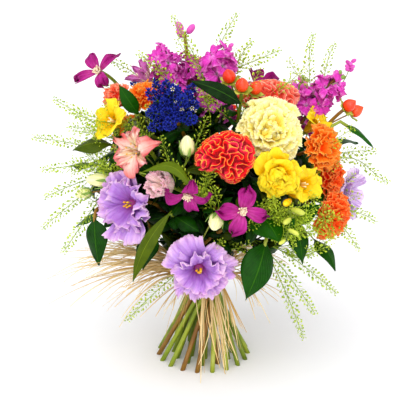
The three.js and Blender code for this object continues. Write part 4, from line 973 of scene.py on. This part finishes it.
MAGENTA = petal_material("magenta clematis petal", [
    (0, "#f8b4d4"), (0.14, "#d050a8"), (0.45, "#b41c8c"), (0.9, "#980e74"), (1, "#840a64")],
                         "#c87cb8", "#ecb4dc", 7, 0.5)
STAMEN = plain_tissue("cream pink stamens", "#eaa8a0", "#fdf0cc", 1, 0.8)
ROSE = petal_material("rose clematis petal", [
    (0, "#fae4f0"), (0.3, "#f0bce0"), (0.7, "#dc8ccc"), (1, "#c46cb0")], "#e8b4dc", "#fcecf8", 8, 0.5)
GOLDEN_TURN = 2.4  # the golden angle in radians


def clematis(reach, depth, draw, petals):
    """Four petals, broad in the middle, with wavy edges and a tip that turns back and aside. A half-closed
    flower lists no petals, and has six."""
    bm = fresh()
    edge = {"notch": 0.04, "wrap": 0.3, "folds": 2, "cup": 3}
    for angle, long, wide in petals:
        tip, half = reach * long, max(reach * 0.33, 6) * wide
        petal(bm, angle + draw.uniform(-9, 9), [1.5, tip * 0.4, tip * 0.8, tip],
              shares_of(depth, 0, 0.7, 0.85, 0.6 - 0.6 * long), [1.8, half * 0.9, half, 0.6], draw, (14, 18),
              ruffle=2.6, frill=0.8, sway=8, rough=5, **edge)
    for k in range(0 if petals else 6):
        petal(bm, k * 60 + draw.uniform(-12, 12), [1.5, *shares_of(reach, 0.5, 0.9, 1.4)],
              shares_of(depth, 0, 0.3, 0.72, 1), [1.8, 5, 6, 0.6], draw, (14, 18), ruffle=2, frill=0.6,
              sway=3, rough=4, look=2, **edge)
    for k in range(40):
        lean = polar(k * GOLDEN_TURN, 0.08 + 0.75 * draw.random(), 1).normalized()
        top = max(depth * 0.8, 10) * draw.uniform(0.8, 1.1)
        tube(bm, [lean, lean * top * 0.6, lean * top], [0.45, 0.45, 0.6], 4, draw.random(), 1)
        blob(bm, aimed(lean * top, lean, 0, (0.9, 0.9, 1.6)), 1, 0.9, 1)
    return bm


CROSS = [  # the angle, length and width of each petal
    (-14, 1.05, 0.9), (76, 0.95, 1.1), (168, 1, 1.05), (262, 1, 1)]
RECURVED = [(58, 1.3, 0.75), (126, 0.82, 1), (214, 1.34, 0.75), (306, 0.86, 1)]
for name, size, petals in (("clematis_front", 0.84, CROSS), ("clematis_left", 0.86, RECURVED),
                           ("clematis_back", 1, CROSS)):
    bm, draw = fresh(), random.Random(name)
    for head in plants[name].shoots:
        bloom = small_mesh(clematis(head.reach, head.depth, draw, petals if head.depth < head.reach else []))
        stamp(bm, bloom, facing(head.foot, head.face, 0, size))
    piece = piece_of(name + "_petals", bm, MAGENTA, STAMEN, ROSE)
    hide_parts(name)

# Stock
# Spikes of magenta florets, each of five broad petals with a white star in the middle, and magenta and green
# buds at the top of the spike. The florets grow straight out of the stalk.

SPIKE_LENGTH = 74
SPIKE_PLACES = 20  # for florets and buds, along a spike
STOCK_PINK = petal_material("magenta stock petal", [
    (0, "#fdf4cc"), (0.26, "#fce0f6"), (0.46, "#f25ad2"), (0.8, "#d840bc"), (1, "#f490da")],
                            "#ecb4e0", "#f4a8e4", 8, 0.6)
STOCK_BUD = plain_tissue("magenta stock bud", "#c02c9c", "#f06cd0", 3, 0.6)


def sideways(ahead, turn):
    """The direction square to ahead that is turned round it by turn."""
    return Matrix.Rotation(turn, 3, ahead) @ ahead.orthogonal().normalized()


def stock_floret(size, draw):
    """An open floret of five broad petals on a green tube."""
    bm = fresh()
    for k in range(5):
        petal(bm, k * 72 + draw.uniform(-12, 12), [0.8, 2.4, size * 0.55, size * draw.uniform(0.86, 1.05)],
              [-6, 0.2, 2.8, draw.uniform(-2, 4)], [0.6, 1.6, size * 0.34, size * 0.36], draw, (10, 8),
              notch=0.2, wrap=0.3, ruffle=1.4, folds=2, rough=4, sway=2, thick=0.35)
    turned(bm, [0, 1, 1.4, 1, 0], [-7.5, -7, -4, -1, -0.6], 8, 6, 1)
    return small_mesh(bm)


def spike_of(bm, path, draw, open_share, size, bare):
    """The florets of one spike, wound round it by the golden angle, and its buds above them. Its stalk may be
    bare between the florets and the last buds."""
    forms = [stock_floret(size, draw) for _ in range(3)]
    for k in range(SPIKE_PLACES):
        share = (k + 0.4) / SPIKE_PLACES
        spot = 1 - SPIKE_LENGTH * (1 - share) / path.length
        at, ahead = path.at(spot), path.towards(spot)
        stray = Vector([draw.random() for _ in range(3)]) * 0.3
        out = (sideways(ahead, GOLDEN_TURN * k) + ahead * (0.25 + 0.7 * share) + stray).normalized()
        if share < open_share:
            grow = 1.08 - 0.4 * share * (1 if open_share < 0.7 else 0)
            place = aimed(at + out * draw.uniform(0.6, 0.86) * size, out, 50 * k, (grow, grow, grow))
            stamp(bm, forms[k % 3], place, draw.random())
        elif share > bare:
            long = 7 if bare else 7 - 4 * (share - open_share) / (1 - open_share)
            green = share > 0.88 and not bare
            tube(bm, [at, at + out * long * 1.2], [0.5, 0.5], 5, 0.5, 1)
            blob(bm, aimed(at + out * long * 1.6, out, 0, (long * 0.6, long * 0.6, long)), 1 if green else 2)


STOCKS = [  # each plant, the size of its florets, and how much of each spike is in flower and then bare
    ("stock_left", 15, [(0.5, 0.82), (0.92, 0)]), ("stock_middle", 17, [(0.92, 0)]),
    ("stock_right", 15, [(0.8, 0)]), ("stock_back", 15, [(0.7, 0)]),
]
for name, size, spikes in STOCKS:
    bm, draw = fresh(), random.Random(name)
    for path, (open_share, bare) in zip(plants[name].paths, spikes):
        spike_of(bm, path, draw, open_share, size, bare)
    piece = piece_of(name + "_florets", bm, STOCK_PINK, GREEN, STOCK_BUD)
    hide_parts(name)

# Statice
# Dense heads of papery deep blue cups on branching twigs. A few hold a tiny white flower.

SPRIGS = 19
CUPS = 14  # on each sprig
# The cups run from a dark navy foot to a bright blue rim: partly their own colour, partly painted shade at the
# foot and a painted highlight at the rim.
PAPER_BLUE = petal_material("papery blue statice cup", [
    (0, "#1c3050"), (0.3, "#0a1256"), (0.7, "#121e80"), (1, "#2c44bc")], "#8c98d8", "#9078f0", 8, 0.8, 0.1)
WHITE = plain_tissue("cream statice flower", "#e8dca0", "#f8f0d4", 1)


def statice_cup(draw, blossom):
    """A small five-lobed paper cup, with or without its flower."""
    bm = fresh()
    for k in range(5):
        petal(bm, k * 72, [0.5, 1.0, 2.0, 3.3], [-4, 0, 2.4, 3.4], [0.5, 0.8, 1.4, 0.9], draw, (2, 4),
              notch=0.2, ruffle=0.5, folds=1, thick=0.25)
    for k in range(5 if blossom else 0):
        petal(bm, 36 + k * 72, [0.3, 0.9, 1.7, 2.4], [0, 1.2, 3.6, 3.9], [0.3, 0.5, 0.8, 0.7], draw, (2, 3),
              notch=0.2, thick=0.25, look=1)
    return small_mesh(bm)


for name in ("statice_front", "statice_back"):
    bm, draw, head = fresh(), random.Random(name), plants[name].shoots[0]
    cups = [statice_cup(draw, k == 0) for k in range(4)]
    middle, root = (head.face + UP * 0.3).normalized(), head.at - head.face * 17
    for k in range(SPRIGS):
        lean = math.sqrt((k + 0.4) / SPRIGS) * 1.15
        away = sideways(middle, math.radians(GOLDEN_ANGLE) * k)
        out = (middle * math.cos(lean) + away * math.sin(lean)).normalized()
        long = head.reach * 1.14 * draw.uniform(0.72, 1.18)
        twig = [root - head.face * 8, root, root + out * long * 0.5, root + out * long]
        tube(bm, twig, [1, 0.9, 0.7, 0.4], 6, 0.3, 2)
        for i in range(CUPS):
            t = i / (CUPS - 1)
            spread = sideways(out, GOLDEN_TURN * i)
            at = root + out * long * (0.46 + 0.54 * t) + spread * along([2.4, 3.9, 3.2, 0.6], t)
            cup = cups[0 if draw.random() < 0.05 else draw.randint(1, 3)]
            stamp(bm, cup, aimed(at, (out * 0.9 + spread).normalized(), 40 * i), draw.random() ** 2)
    piece = piece_of(name + "_cups", bm, PAPER_BLUE, WHITE, STALK)
    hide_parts(name)

# Hypericum
# Glossy orange red berries on thin stalks, each in a cup of five small yellow green sepals.

BERRY = plain_tissue("glossy hypericum berry skin", "#ea1c04", "#ff5c18", 8, 0.25)
SEPAL = plain_tissue("yellow green sepal", "#8c9c1c", "#d4dc58", 4, 0.45)


def berry(reach, depth, draw):
    """A three-sided berry that ends in a thin beak, on its spread sepals."""
    bm, reach, depth = fresh(), reach * 1.12, depth * 1.15
    turned(bm, [*shares_of(reach, 0, 0.75, 1, 0.85, 0.4), 0.25, 0],
           [0.4, *shares_of(depth, 0.12, 0.4, 0.7, 0.94, 1.08, 1.1)], 18, 14, 0, draw.random(), 3, 0.03)
    for k in range(5):
        petal(bm, k * 72, [1, *shares_of(reach, 0.7, 1.2, 1.7)], [0, 0, depth * 0.14, depth * 0.2],
              [0.8, reach * 0.5, reach * 0.56, 0.3], draw, (5, 7), notch=0.1, rough=3, look=1)
    return bm


for name in ("hypericum_front", "hypericum_right"):
    bm, draw = fresh(), random.Random(name)
    for head in plants[name].shoots:
        stamp(bm, small_mesh(berry(head.reach, head.depth, draw)), head.place)
    piece = piece_of(name + "_berries", bm, BERRY, SEPAL)
    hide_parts(name)

# Leaves
# Broad dark leathery leaves low round the head, and narrow softer olive ones on the alstroemeria, all with a
# pale midrib and a slight gloss. Each grows on a short stalk from its stem.


def leaf_material(name, dark, light, rib):
    """A leathery leaf: a pale midrib, side veins that slant to the tip, and a waxy gloss."""
    made, tree, surface = material(name)
    parts = add(tree, "SeparateXYZ", {"Vector": add(tree, "UVMap", uv_map="UVMap")})
    off = add(tree, "Math", {0: parts.outputs["X"], 1: 0.5}, operation="SUBTRACT")
    across = add(tree, "Math", {0: off}, operation="ABSOLUTE")
    slant = add(tree, "Math", {0: across, 1: -1.1, 2: parts.outputs["Y"]}, operation="MULTIPLY_ADD")
    waves = add(tree, "Math", {0: slant, 1: 60}, operation="MULTIPLY")
    veins = add(tree, "Math", {0: waves}, operation="SINE")
    vein = add(tree, "MapRange", {"Value": veins, "From Min": 0.86, "From Max": 1.0})
    midrib = add(tree, "MapRange", {"Value": across, "From Min": 0.022, "From Max": 0.008, "To Max": 0.6})
    both = add(tree, "Math", {0: midrib, 1: vein}, operation="MAXIMUM")
    place = add(tree, "TexCoord").outputs["Object"]
    mottle = add(tree, "TexNoise", {"Vector": place, "Scale": 1000 / 8, "Detail": 3})
    tint = add(tree, "Attribute", attribute_name="tint")
    half = add(tree, "Math", {0: mottle, 1: 0.5, 2: -0.1}, operation="MULTIPLY_ADD")
    age = add(tree, "Math", {0: tint, 1: 0.6, 2: half}, operation="MULTIPLY_ADD")
    base = add(tree, "ValToRGB", {"Fac": age}, stops=[(0.1, dark), (0.9, light)])
    share = add(tree, "Math", {0: vein, 1: 0.14, 2: midrib}, operation="MULTIPLY_ADD")
    ribbed = add(tree, "Mix", {"Factor": share, "A": base, "B": rib}, data_type="RGBA")
    bump = add(tree, "Bump", {"Height": both, "Strength": 0.4, "Distance": 0.0006}, invert=True)
    wire(tree, surface, {"Base Color": ribbed, "Normal": bump, "Roughness": 0.38, "Specular IOR Level": 0.1,
                         "Subsurface Weight": 0.06, "Subsurface Radius": (0.001, 0.002, 0.001),
                         "Subsurface Scale": 1.0})
    return made


DARK_LEAF = leaf_material("dark leathery leaf", "#031900", "#195c00", "#3c7408")
OLIVE_LEAF = leaf_material("olive soft leaf", "#2e3e00", "#5c7004", "#7c8c1c")


def leaf(bm, base, tip, width, look, draw, grid=(8, 14), lance=False, kind=0, light=1, bow=0.0):
    """A leaf from base to tip, arched, folded a little on its midrib and waved at its edges. It bows to one
    side by a share of its length."""
    ahead = (tip - base).normalized()
    side = ahead.cross(look).normalized()
    out, length = side.cross(ahead), (tip - base).length
    halves = [0.05, 0.5, 0.9, 0.95, 0.6, 0.0] if lance else [0.06, 0.8, 1, 0.86, 0.5, 0.0]
    phase, bow = draw.random() * 6, bow + draw.uniform(-0.05, 0.05)

    def shape(u, v):
        half = width / 2 * along(halves, v)
        arch = length * 0.1 * math.sin(math.pi * v) - abs(u) * half * 0.3
        wave = 0.05 * width * u * u * math.sin(9 * v + phase + 2 * u)
        swing = bow * length * math.sin(math.pi * v)
        return base + ahead * v * length + out * (arch + wave) + side * (u * half + swing)

    # light scales the leaf's tint, which sets its colour: a low light paints shade over the whole leaf.
    sheet(bm, *grid, shape, draw.random() * light, kind, 0.5)


for name, plant in plants.items():
    leaves = [twig for twig in plant.shoots if twig.bears == "leaf"]
    if leaves:
        bm, draw = fresh(), random.Random(name + " leaves")
        soft = name == "alstroemeria_stem"
        for twig in leaves:
            leaf(bm, twig.base, twig.tip, twig.width, twig.look, draw, (10, 20), soft, bow=twig.bow)
        piece = piece_of(name + "_leaves", bm, OLIVE_LEAF if soft else DARK_LEAF)
        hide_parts(name)

# Leaves on the stems
# The stalks keep their own leaves inside the head: soft lance-shaped blades, dark and close together between
# the blooms, each on the stem or the side stem that bore it. Deeper inside the head they are painted darker
# still, as painted shade. Each of the two pieces has every other plant's.

LEAF_GAP = 5.5  # along a stem, from one leaf to the next
HEAD_HALF = Vector((158, 128, 132))  # half the width, depth and height of the round head of blooms
HEAD_MIDDLE = 222  # its height
LOWEST_LEAF = 140

blooms = [(head.foot.lerp(head.at, 0.6), head.reach) for plant in plants.values() for head in plant.shoots
          if head.bears in HEADS]


def clear_of_blooms(point, room):
    """Whether a point has room between the blooms."""
    return all((point - middle).length > reach + room for middle, reach in blooms)


def depth_inside(point):
    """How far a point is inside the head's round outline of blooms. It is negative outside."""
    away = point.x / HEAD_HALF.x, point.y / HEAD_HALF.y, (point.z - HEAD_MIDDLE) / HEAD_HALF.z
    return 1 - math.hypot(*away)


def leaf_up(bm, path, share, turn, draw):
    """A filler leaf out of a stem, if there is room for it. Deep inside, painted shade makes it darker."""
    ahead, base = path.towards(share), path.at(share)
    out = sideways(ahead, turn)
    tip = base + (out * draw.uniform(0.6, 1.1) + ahead * draw.uniform(0.1, 0.8)) * draw.uniform(22, 44)
    if tip.z < LOWEST_LEAF or depth_inside(tip) < 0.14:
        return
    if not clear_of_blooms(tip, 1) or not clear_of_blooms(base.lerp(tip, 0.6), -2):
        return
    # The last number is painted shade: the deeper the tip lies inside the head, the darker the whole leaf is
    # painted.
    leaf(bm, base, tip, draw.uniform(10, 21), out.cross(ahead).cross(out) + Vector((0, -0.3, 0.5)), draw,
         (2, 6), True, 1 if draw.random() < 0.15 else 0, max(0.9 - 2 * depth_inside(tip), 0))


stems = [(path, k / 20, path.at(k / 20), path.towards(k / 20))
         for plant in plants.values() for path in plant.paths[:2] for k in range(4, 20)]


def nearest_stem(end, away, below):
    """The stem, and the share along it, that can send a side stalk of about this length up to end without a
    sharp turn."""
    def misfit(stem):
        gap = end - stem[2]
        return abs(gap.length - away) + max(below - gap.z, 0) + 30 * (1 - stem[3].dot(gap.normalized()))
    return min(stems, key=misfit)[:2]


def side_stalk(bm, path, share, end, direction, thick, look):
    """A thin stalk out of a stem to an end, where it looks along direction."""
    stalk = bend(path.at(share), path.towards(share), end, direction, 0.4, 0.4)
    tube(bm, stalk.points(16), [thick * (1 - 0.03 * k) for k in range(17)], 8, 0.5, look)
    return stalk


for first, side in enumerate(("left", "right")):
    bm, draw = fresh(), random.Random("leaves on the stems " + side)
    for plant in list(plants.values())[first::2]:
        for number, path in enumerate(plant.paths):
            low, high = (0.1, 0.96) if number == 0 else (0.15, 0.8)
            count = round(path.length * (high - low) / LEAF_GAP)
            for k in range(count):
                leaf_up(bm, path, low + (high - low) * (k + draw.random()) / count, GOLDEN_TURN * k, draw)
    piece = piece_of("leaves_on_the_stems_" + side, bm, DARK_LEAF, OLIVE_LEAF)

SINGLE_LEAVES = [  # the base, tip and width of broad leaves on stalks of their own
    ((-72, -62, 318), (-92, -70, 352), 17), ((40, -80, 333), (-14, -82, 358), 18),
    ((100, -84, 200), (128, -104, 226), 20), ((84, -92, 186), (98, -114, 214), 20),
    ((126, -36, 234), (150, -44, 208), 24),
]
bm, draw = fresh(), random.Random("single leaves")
for base, tip, width in SINGLE_LEAVES:
    base, tip = Vector(base), Vector(tip)
    path, share = nearest_stem(base, 30, 6)
    side_stalk(bm, path, share, base, (tip - base).normalized(), 0.9, 1)
    leaf(bm, base, tip, width, Vector((0, -1, 0.4)), draw)
piece = piece_of("single_leaves", bm, DARK_LEAF, STALK)

# Pennycress
# Airy light green sprays: a wiry twig, and many small flat round pods on hair-thin stalks all round it, in
# its upper half.

POD_GREEN = plain_tissue("light green pod", "#84a80e", "#cce034", 2, 0.55)
BARE_SHARE = 0.46
PODS_PER_MM = 0.95


def pod_on_stalk():
    """One flat pod, 3.6 mm long, on its stalk."""
    bm = fresh()
    tube(bm, [Vector(), UP * 6.2], [0.2, 0.16], 3)
    blob(bm, aimed(UP * 7.6, UP, 0, (1.55, 0.5, 1.8)), 0, 0.5, 1)
    return small_mesh(bm)


def spray_of(bm, path, first, count, pod, draw, size=1):
    """A twig that thins towards its tip, with its pods wound round it from a share of its length on."""
    tube(bm, path.points(16), graded([1, 0.8, 0.5, 0.3], 16, size), 6, 0)
    for k in range(count):
        share = first + (1 - first) * (k + 0.5) / count
        ahead = path.towards(share)
        out = sideways(ahead, GOLDEN_TURN * k + draw.uniform(-0.3, 0.3))
        grow = along([0.8, 1, 0.95, 0.5], (k + 0.5) / count) * draw.uniform(0.85, 1.1)
        place = aimed(path.at(share), out + ahead * 0.75, draw.uniform(0, 180), (size, size, grow))
        stamp(bm, pod, place, draw.random())


pod = pod_on_stalk()
for name in [name for name in plants if name.startswith("pennycress")]:
    bm, draw, plant = fresh(), random.Random(name), plants[name]
    for path in plant.paths[1:]:
        spray_of(bm, path, BARE_SHARE, round(path.length * (1 - BARE_SHARE) * PODS_PER_MM), pod, draw)
    piece = piece_of(name + "_sprays", bm, POD_GREEN)
    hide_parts(name)

# Small sprays between the blooms
# Short pennycress side sprays fill the gaps between the blooms with a haze of pods, thickest at the lower
# right. Each leaves the nearest stem below it.

SPRAY_LENGTH = 62
HAZE_LENGTH = 42
SMALL_PODS = 32  # on each small spray
SPRAY_ENDS = [
    (92, -112, 208), (104, -108, 196), (116, -100, 214), (128, -96, 200), (140, -84, 184), (98, -116, 184),
    (84, -114, 222), (150, -96, 210), (120, -108, 178), (158, -90, 196), (134, -102, 222), (108, -92, 168),
    (76, -126, 240), (60, -118, 210), (-60, -70, 330), (-78, -60, 322), (-88, -66, 306), (-72, -80, 300),
    (-46, -96, 300), (-96, -48, 318), (0, -60, 344), (8, -70, 334), (4, -86, 320), (-4, -50, 352),
    (150, -70, 290), (158, -60, 268), (168, -50, 300), (96, -40, 352), (110, -30, 362), (62, -52, 366),
    (-130, -50, 300), (-142, -48, 280), (-150, -40, 262), (-134, -62, 256), (-144, -60, 232),
    (-150, -50, 300), (-112, -84, 268), (-20, -116, 262), (4, -118, 244), (-34, -110, 276),
    (52, -98, 180), (20, -116, 190), (-30, 0, 392), (176, -20, 236), (182, -30, 214), (-70, 20, 366),
    (40, 0, 380), (100, 20, 366),
]
HAZES = [  # where sprays crowd: the two corners of each place, and how many
    ((76, -124, 182), (142, -100, 236), 36), ((-150, -80, 262), (-84, -50, 330), 14),
    ((-20, -122, 240), (30, -104, 290), 6),
]

bm, draw = fresh(), random.Random("small sprays")
crowded = [[draw.uniform(a, b) for a, b in zip(low, high)]
           for low, high, count in HAZES for _ in range(count)]
for end, length in [(end, SPRAY_LENGTH) for end in SPRAY_ENDS] + [(end, HAZE_LENGTH) for end in crowded]:
    end = Vector(end)
    path, share = nearest_stem(end, length, length / 2)
    away = (end - path.at(share)).normalized()
    arrive = (away + Vector((0, -0.2, 0.3))).normalized()
    small = bend(path.at(share), path.towards(share), end, arrive, 0.3, 0.3)
    spray_of(bm, small, 0.36, SMALL_PODS, pod, draw, 0.66)
piece = piece_of("small_sprays", bm, POD_GREEN)

# Extra buds
# Waxy freesia buds, yellow and then green, sit in a row on a curved stalk at the right. Two twigs of small
# magenta buds rise at the top. Each stalk leaves a stem below it.

bm = fresh()
path = plants["freesia_stem_right"].paths[0]
stalk = side_stalk(bm, path, 0.8, Vector((86, -128, 190)), Vector((-0.35, -0.1, -1)).normalized(), 1.1, 1)
for k in range(7):
    share, grow = 0.3 + 0.11 * k, 1.7 - 0.16 * k
    out = (Vector((0.9, -0.5, 0.25)) if k % 2 else Vector((-0.5, -0.7, 0.3))).normalized()
    out = (out + stalk.towards(share) * 0.5).normalized()
    closed_bud = fresh()
    turned(closed_bud, [0, 1.6, 2.6, 2.9, 2, 0], [0, 1, 5, 10, 14, 16], 10, 10, 0 if k > 2 else 2,
           0.4 + 0.1 * k)
    stamp(bm, small_mesh(closed_bud), aimed(stalk.at(share), out, 0, (grow, grow, grow)))
piece = piece_of("freesia_buds", bm, SEPAL, STALK, YELLOW)

bm, draw = fresh(), random.Random("magenta buds")
for end, count in ((Vector((169, 4, 364)), 9), (Vector((28, -8, 384)), 6)):
    path, share = nearest_stem(end, 70, 10)
    stalk = side_stalk(bm, path, share, end, Vector((0.1, 0, 1)).normalized(), 0.8, 1)
    for k in range(count):
        at, out = stalk.at(1 - 0.16 * k / count), polar(GOLDEN_TURN * k, 1, 0.6).normalized()
        tip = at + out * draw.uniform(2, 6)
        tube(bm, [at, tip], [0.3, 0.3], 4, 0.6, 1)
        blob(bm, aimed(tip, out, 0, (2.4, 2.4, 3.6)), 0, draw.random(), 2)
piece = piece_of("magenta_buds", bm, STOCK_BUD, STALK)

# Raffia
# Flat straw coloured strips of palm leaf: wound round the waist as a tie, and fanned out loose above it as a
# ragged collar with long ends that hang to the front.

STRANDS = [
    [196, 172, 128], [206, 150, 110], [214, 168, 136], [187, 158, 116], [178, 146, 136], [224, 138, 104],
    [233, 148, 128], [168, 124, 122], [242, 118, 92], [154, 108, 128], [256, 96, 76], [270, 76, 22],
    [283, 66, 8], [293, 72, 16], [303, 80, 36], [314, 96, 84], [326, 110, 114], [340, 100, 132],
    [4, 90, 126], [28, 86, 122], [124, 96, 122],
]  # each strand's angle, and its end's distance from the middle and height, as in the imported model
STRIPS = 11  # that each strand is split into
LOOSE_ENDS = 70
LOOPS = 9
TIE_BORE = 19.5
TIE_FOOT = 95.5  # the height of its lowest turn
TIE_TURNS = 16  # in two layers
LOOP_RADIUS = TIE_BORE + 3.6
LOOP_HEIGHT = 108.3


def raffia_material():
    """Dry palm strips: straw coloured with long darker fibres, and a slight sheen."""
    made, tree, surface = material("dry raffia")
    uv = add(tree, "UVMap", uv_map="UVMap")
    fibres = add(tree, "Mapping", {"Vector": uv, "Scale": (5, 1.5, 1)})
    streaks = add(tree, "TexNoise", {"Vector": fibres, "Scale": 2, "Detail": 4, "Roughness": 0.7})
    tint = add(tree, "Attribute", attribute_name="tint")
    mixed = add(tree, "Math", {0: streaks, 1: 0.5, 2: 0}, operation="MULTIPLY_ADD")
    age = add(tree, "Math", {0: tint, 1: 0.6, 2: mixed}, operation="MULTIPLY_ADD")
    base = add(tree, "ValToRGB", {"Fac": age}, stops=[
        (0.1, "#be8a3a"), (0.4, "#e2bc76"), (0.65, "#f4daa0"), (1.0, "#fcecc6")])
    bump = add(tree, "Bump", {"Height": streaks, "Strength": 0.4, "Distance": 0.0003})
    wire(tree, surface, {"Base Color": base, "Normal": bump, "Roughness": 0.6, "Specular IOR Level": 0.35})
    return made


RAFFIA = raffia_material()


def strip(bm, centres, width, draw, twist=2.0):
    """A flat strip through the centres, which turns over slowly and narrows at its ends."""
    last, start = len(centres) - 1, draw.random() * 6.3
    turns = draw.uniform(-twist, twist)

    def shape(u, v):
        k = round(v * last)
        ahead = (centres[min(k + 1, last)] - centres[max(k - 1, 0)]).normalized()
        flat = ahead.cross(Vector((0.01, 0.02, 1))).normalized()
        side = Matrix.Rotation(start + turns * v, 3, ahead) @ flat
        return centres[k] + side * u * width / 2 * along([0.9, 1, 1, 0.9, 0.4], v)

    sheet(bm, 1, last, shape, draw.random(), 0, 0.25)


def strand_path(k, i):
    """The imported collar's strand k, as bent on its try i."""
    angle, reach, height = STRANDS[k]
    out = polar(math.radians(angle), 1)
    start, end = out * LOOP_RADIUS + UP * LOOP_HEIGHT, out * reach + UP * height
    numbers = seeded(k * 613 + i * 977)
    lift = 10 + 34 * next(numbers)
    swing = UP.cross(out) * 24 * (next(numbers) - 0.5) * min(1, i / 6)
    near = start.lerp(end, 0.35) + UP * lift + swing
    far = start.lerp(end, 0.75) + UP * (lift * 0.7) + swing
    return Path([start, near, far, end])


def split_strip(path, main, draw):
    """The middle line of one strip of a strand. The main one keeps to the strand's path, and the others
    wander away from it towards their ends. None goes under the surface that the bouquet stands on."""
    spread, length = Vector([draw.gauss(0, 1) for _ in range(3)]), draw.uniform(0.7, 1 if main else 1.04)
    swirl = draw.uniform(0, 6)
    centres = []
    for step in range(19):
        t = step / 18 * length
        wander = spread * (1 + 14 * t * t)
        wiggle = Vector((math.sin(7 * t + swirl), math.cos(6 * t + swirl), math.sin(5 * t))) * 0.7 * t
        beyond = path.towards(1) * max(t - 1, 0) * path.length
        point = path.at(min(t, 1)) + beyond + (wiggle * 0.2 if main else wander + wiggle)
        point.z = max(point.z, 1)
        centres.append(point)
    return centres


collar = surface_of("raffia_collar")
bm, draw = fresh(), random.Random("raffia collar")
for k in range(len(STRANDS)):
    path = nearest_path(collar, [strand_path(k, i) for i in range(60)], [(1 / 3, 0.5), (2 / 3, 0.5)])
    for i in range(STRIPS):
        centres = split_strip(path, i == 0, draw)
        strip(bm, centres, draw.uniform(0.9, 1.8), draw)
for k in range(LOOSE_ENDS):
    left = k % 3 != 0
    out = polar(math.radians(draw.uniform(160, 228) if left else draw.uniform(-42, 20)), 1)
    start = out * LOOP_RADIUS + UP * (LOOP_HEIGHT + draw.uniform(-2, 2))
    length, height = draw.uniform(60, 150) if left else draw.uniform(40, 95), draw.uniform(118, 158)
    end, aside = out * length + UP * height, out.cross(UP) * draw.gauss(0, 9)
    near, far = start.lerp(end, 0.3) + UP * 22, start.lerp(end, 0.7) + aside
    strip(bm, Path([start, near, far, end + aside * 1.5]).points(14), draw.uniform(0.8, 1.5), draw)
for k in range(LOOPS):
    height, lean = LOOP_HEIGHT - 2 + 4 * draw.random(), draw.uniform(-1, 1)
    ring = [polar(math.radians(96 + 10 * step), LOOP_RADIUS + draw.uniform(-0.6, 2),
                  height + lean * math.sin(step / 5)) for step in range(33)]
    strip(bm, ring, draw.uniform(1.6, 2.4), draw, 1)
piece = piece_of("raffia_collar_strips", bm, RAFFIA)
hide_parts("raffia_collar")

bm, draw = fresh(), random.Random("raffia tie")
for k in range(TIE_TURNS):
    height, slant = TIE_FOOT + 9 * (k % 8 + draw.random() * 0.6) / 7.6, draw.uniform(-1.5, 1.5)
    radius = TIE_BORE + 0.6 + 1.5 * (k // 8) + draw.uniform(0, 0.4)
    angles = [math.radians(10 * step) for step in range(38)]
    ring = [polar(angle, radius, height + slant * math.sin(angle)) for angle in angles]
    strip(bm, ring, draw.uniform(1.6, 2.4), draw, 0.3)
piece = piece_of("raffia_tie_strips", bm, RAFFIA)
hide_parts("raffia_tie")

# Floor, light and camera
# A plain pale floor, soft studio light from above and in front, and a camera at the photograph's angle.

LOOK_AT = Vector((-4, 0, 200))
CAMERA_DISTANCE = 1133
CAMERA_RISE = 17  # degrees above the horizon

bm = fresh()
bmesh.ops.create_grid(bm, x_segments=1, y_segments=1, size=14)
mesh = bpy.data.meshes.new("floor")
bm.to_mesh(mesh)
bm.free()
floor = bpy.data.objects.new("floor", mesh)
made, tree, surface = material("pale paper floor")
place = add(tree, "TexCoord").outputs["Object"]
grain = add(tree, "TexNoise", {"Vector": place, "Scale": 1000 / 40, "Detail": 3})
base = add(tree, "ValToRGB", {"Fac": grain}, stops=[(0, "#f8f8fa"), (1, "#fbfbfd")])
wire(tree, surface, {"Base Color": base, "Roughness": 0.9, "Specular IOR Level": 0.1})
mesh.materials.append(made)
bpy.context.collection.objects.link(floor)
floor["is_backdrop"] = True

world = bpy.data.worlds.new("studio")
world.use_nodes = True
wire(world.node_tree, world.node_tree.nodes["Background"], {"Color": "#ffffff", "Strength": 0.95})
bpy.context.scene.world = world
bpy.context.scene.view_settings.view_transform = "Standard"


def soft_light(name, direction, softness, power):
    """A far soft light from a direction, as wide as softness in degrees."""
    lamp = bpy.data.lights.new(name, "SUN")
    lamp.angle = math.radians(softness)
    lamp.energy = power
    light = bpy.data.objects.new(name, lamp)
    light.rotation_euler = (-Vector(direction)).to_track_quat("-Z", "Y").to_euler()
    bpy.context.collection.objects.link(light)


soft_light("key", (-0.25, -0.8, 1.0), 60, 1.2)
soft_light("front", (0.2, -1.0, 0.3), 60, 0.8)

camera = bpy.data.objects.new("camera", bpy.data.cameras.new("camera"))
camera.data.lens = 85
camera.data.sensor_width = 36
rise = math.radians(CAMERA_RISE)
camera.location = (LOOK_AT + Vector((0, -math.cos(rise), math.sin(rise))) * CAMERA_DISTANCE) * MM
camera.rotation_euler = (math.radians(90) - rise, 0, 0)
bpy.context.collection.objects.link(camera)
bpy.context.scene.camera = camera

[[list(corner) for corner in box] for box in (first_box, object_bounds())]
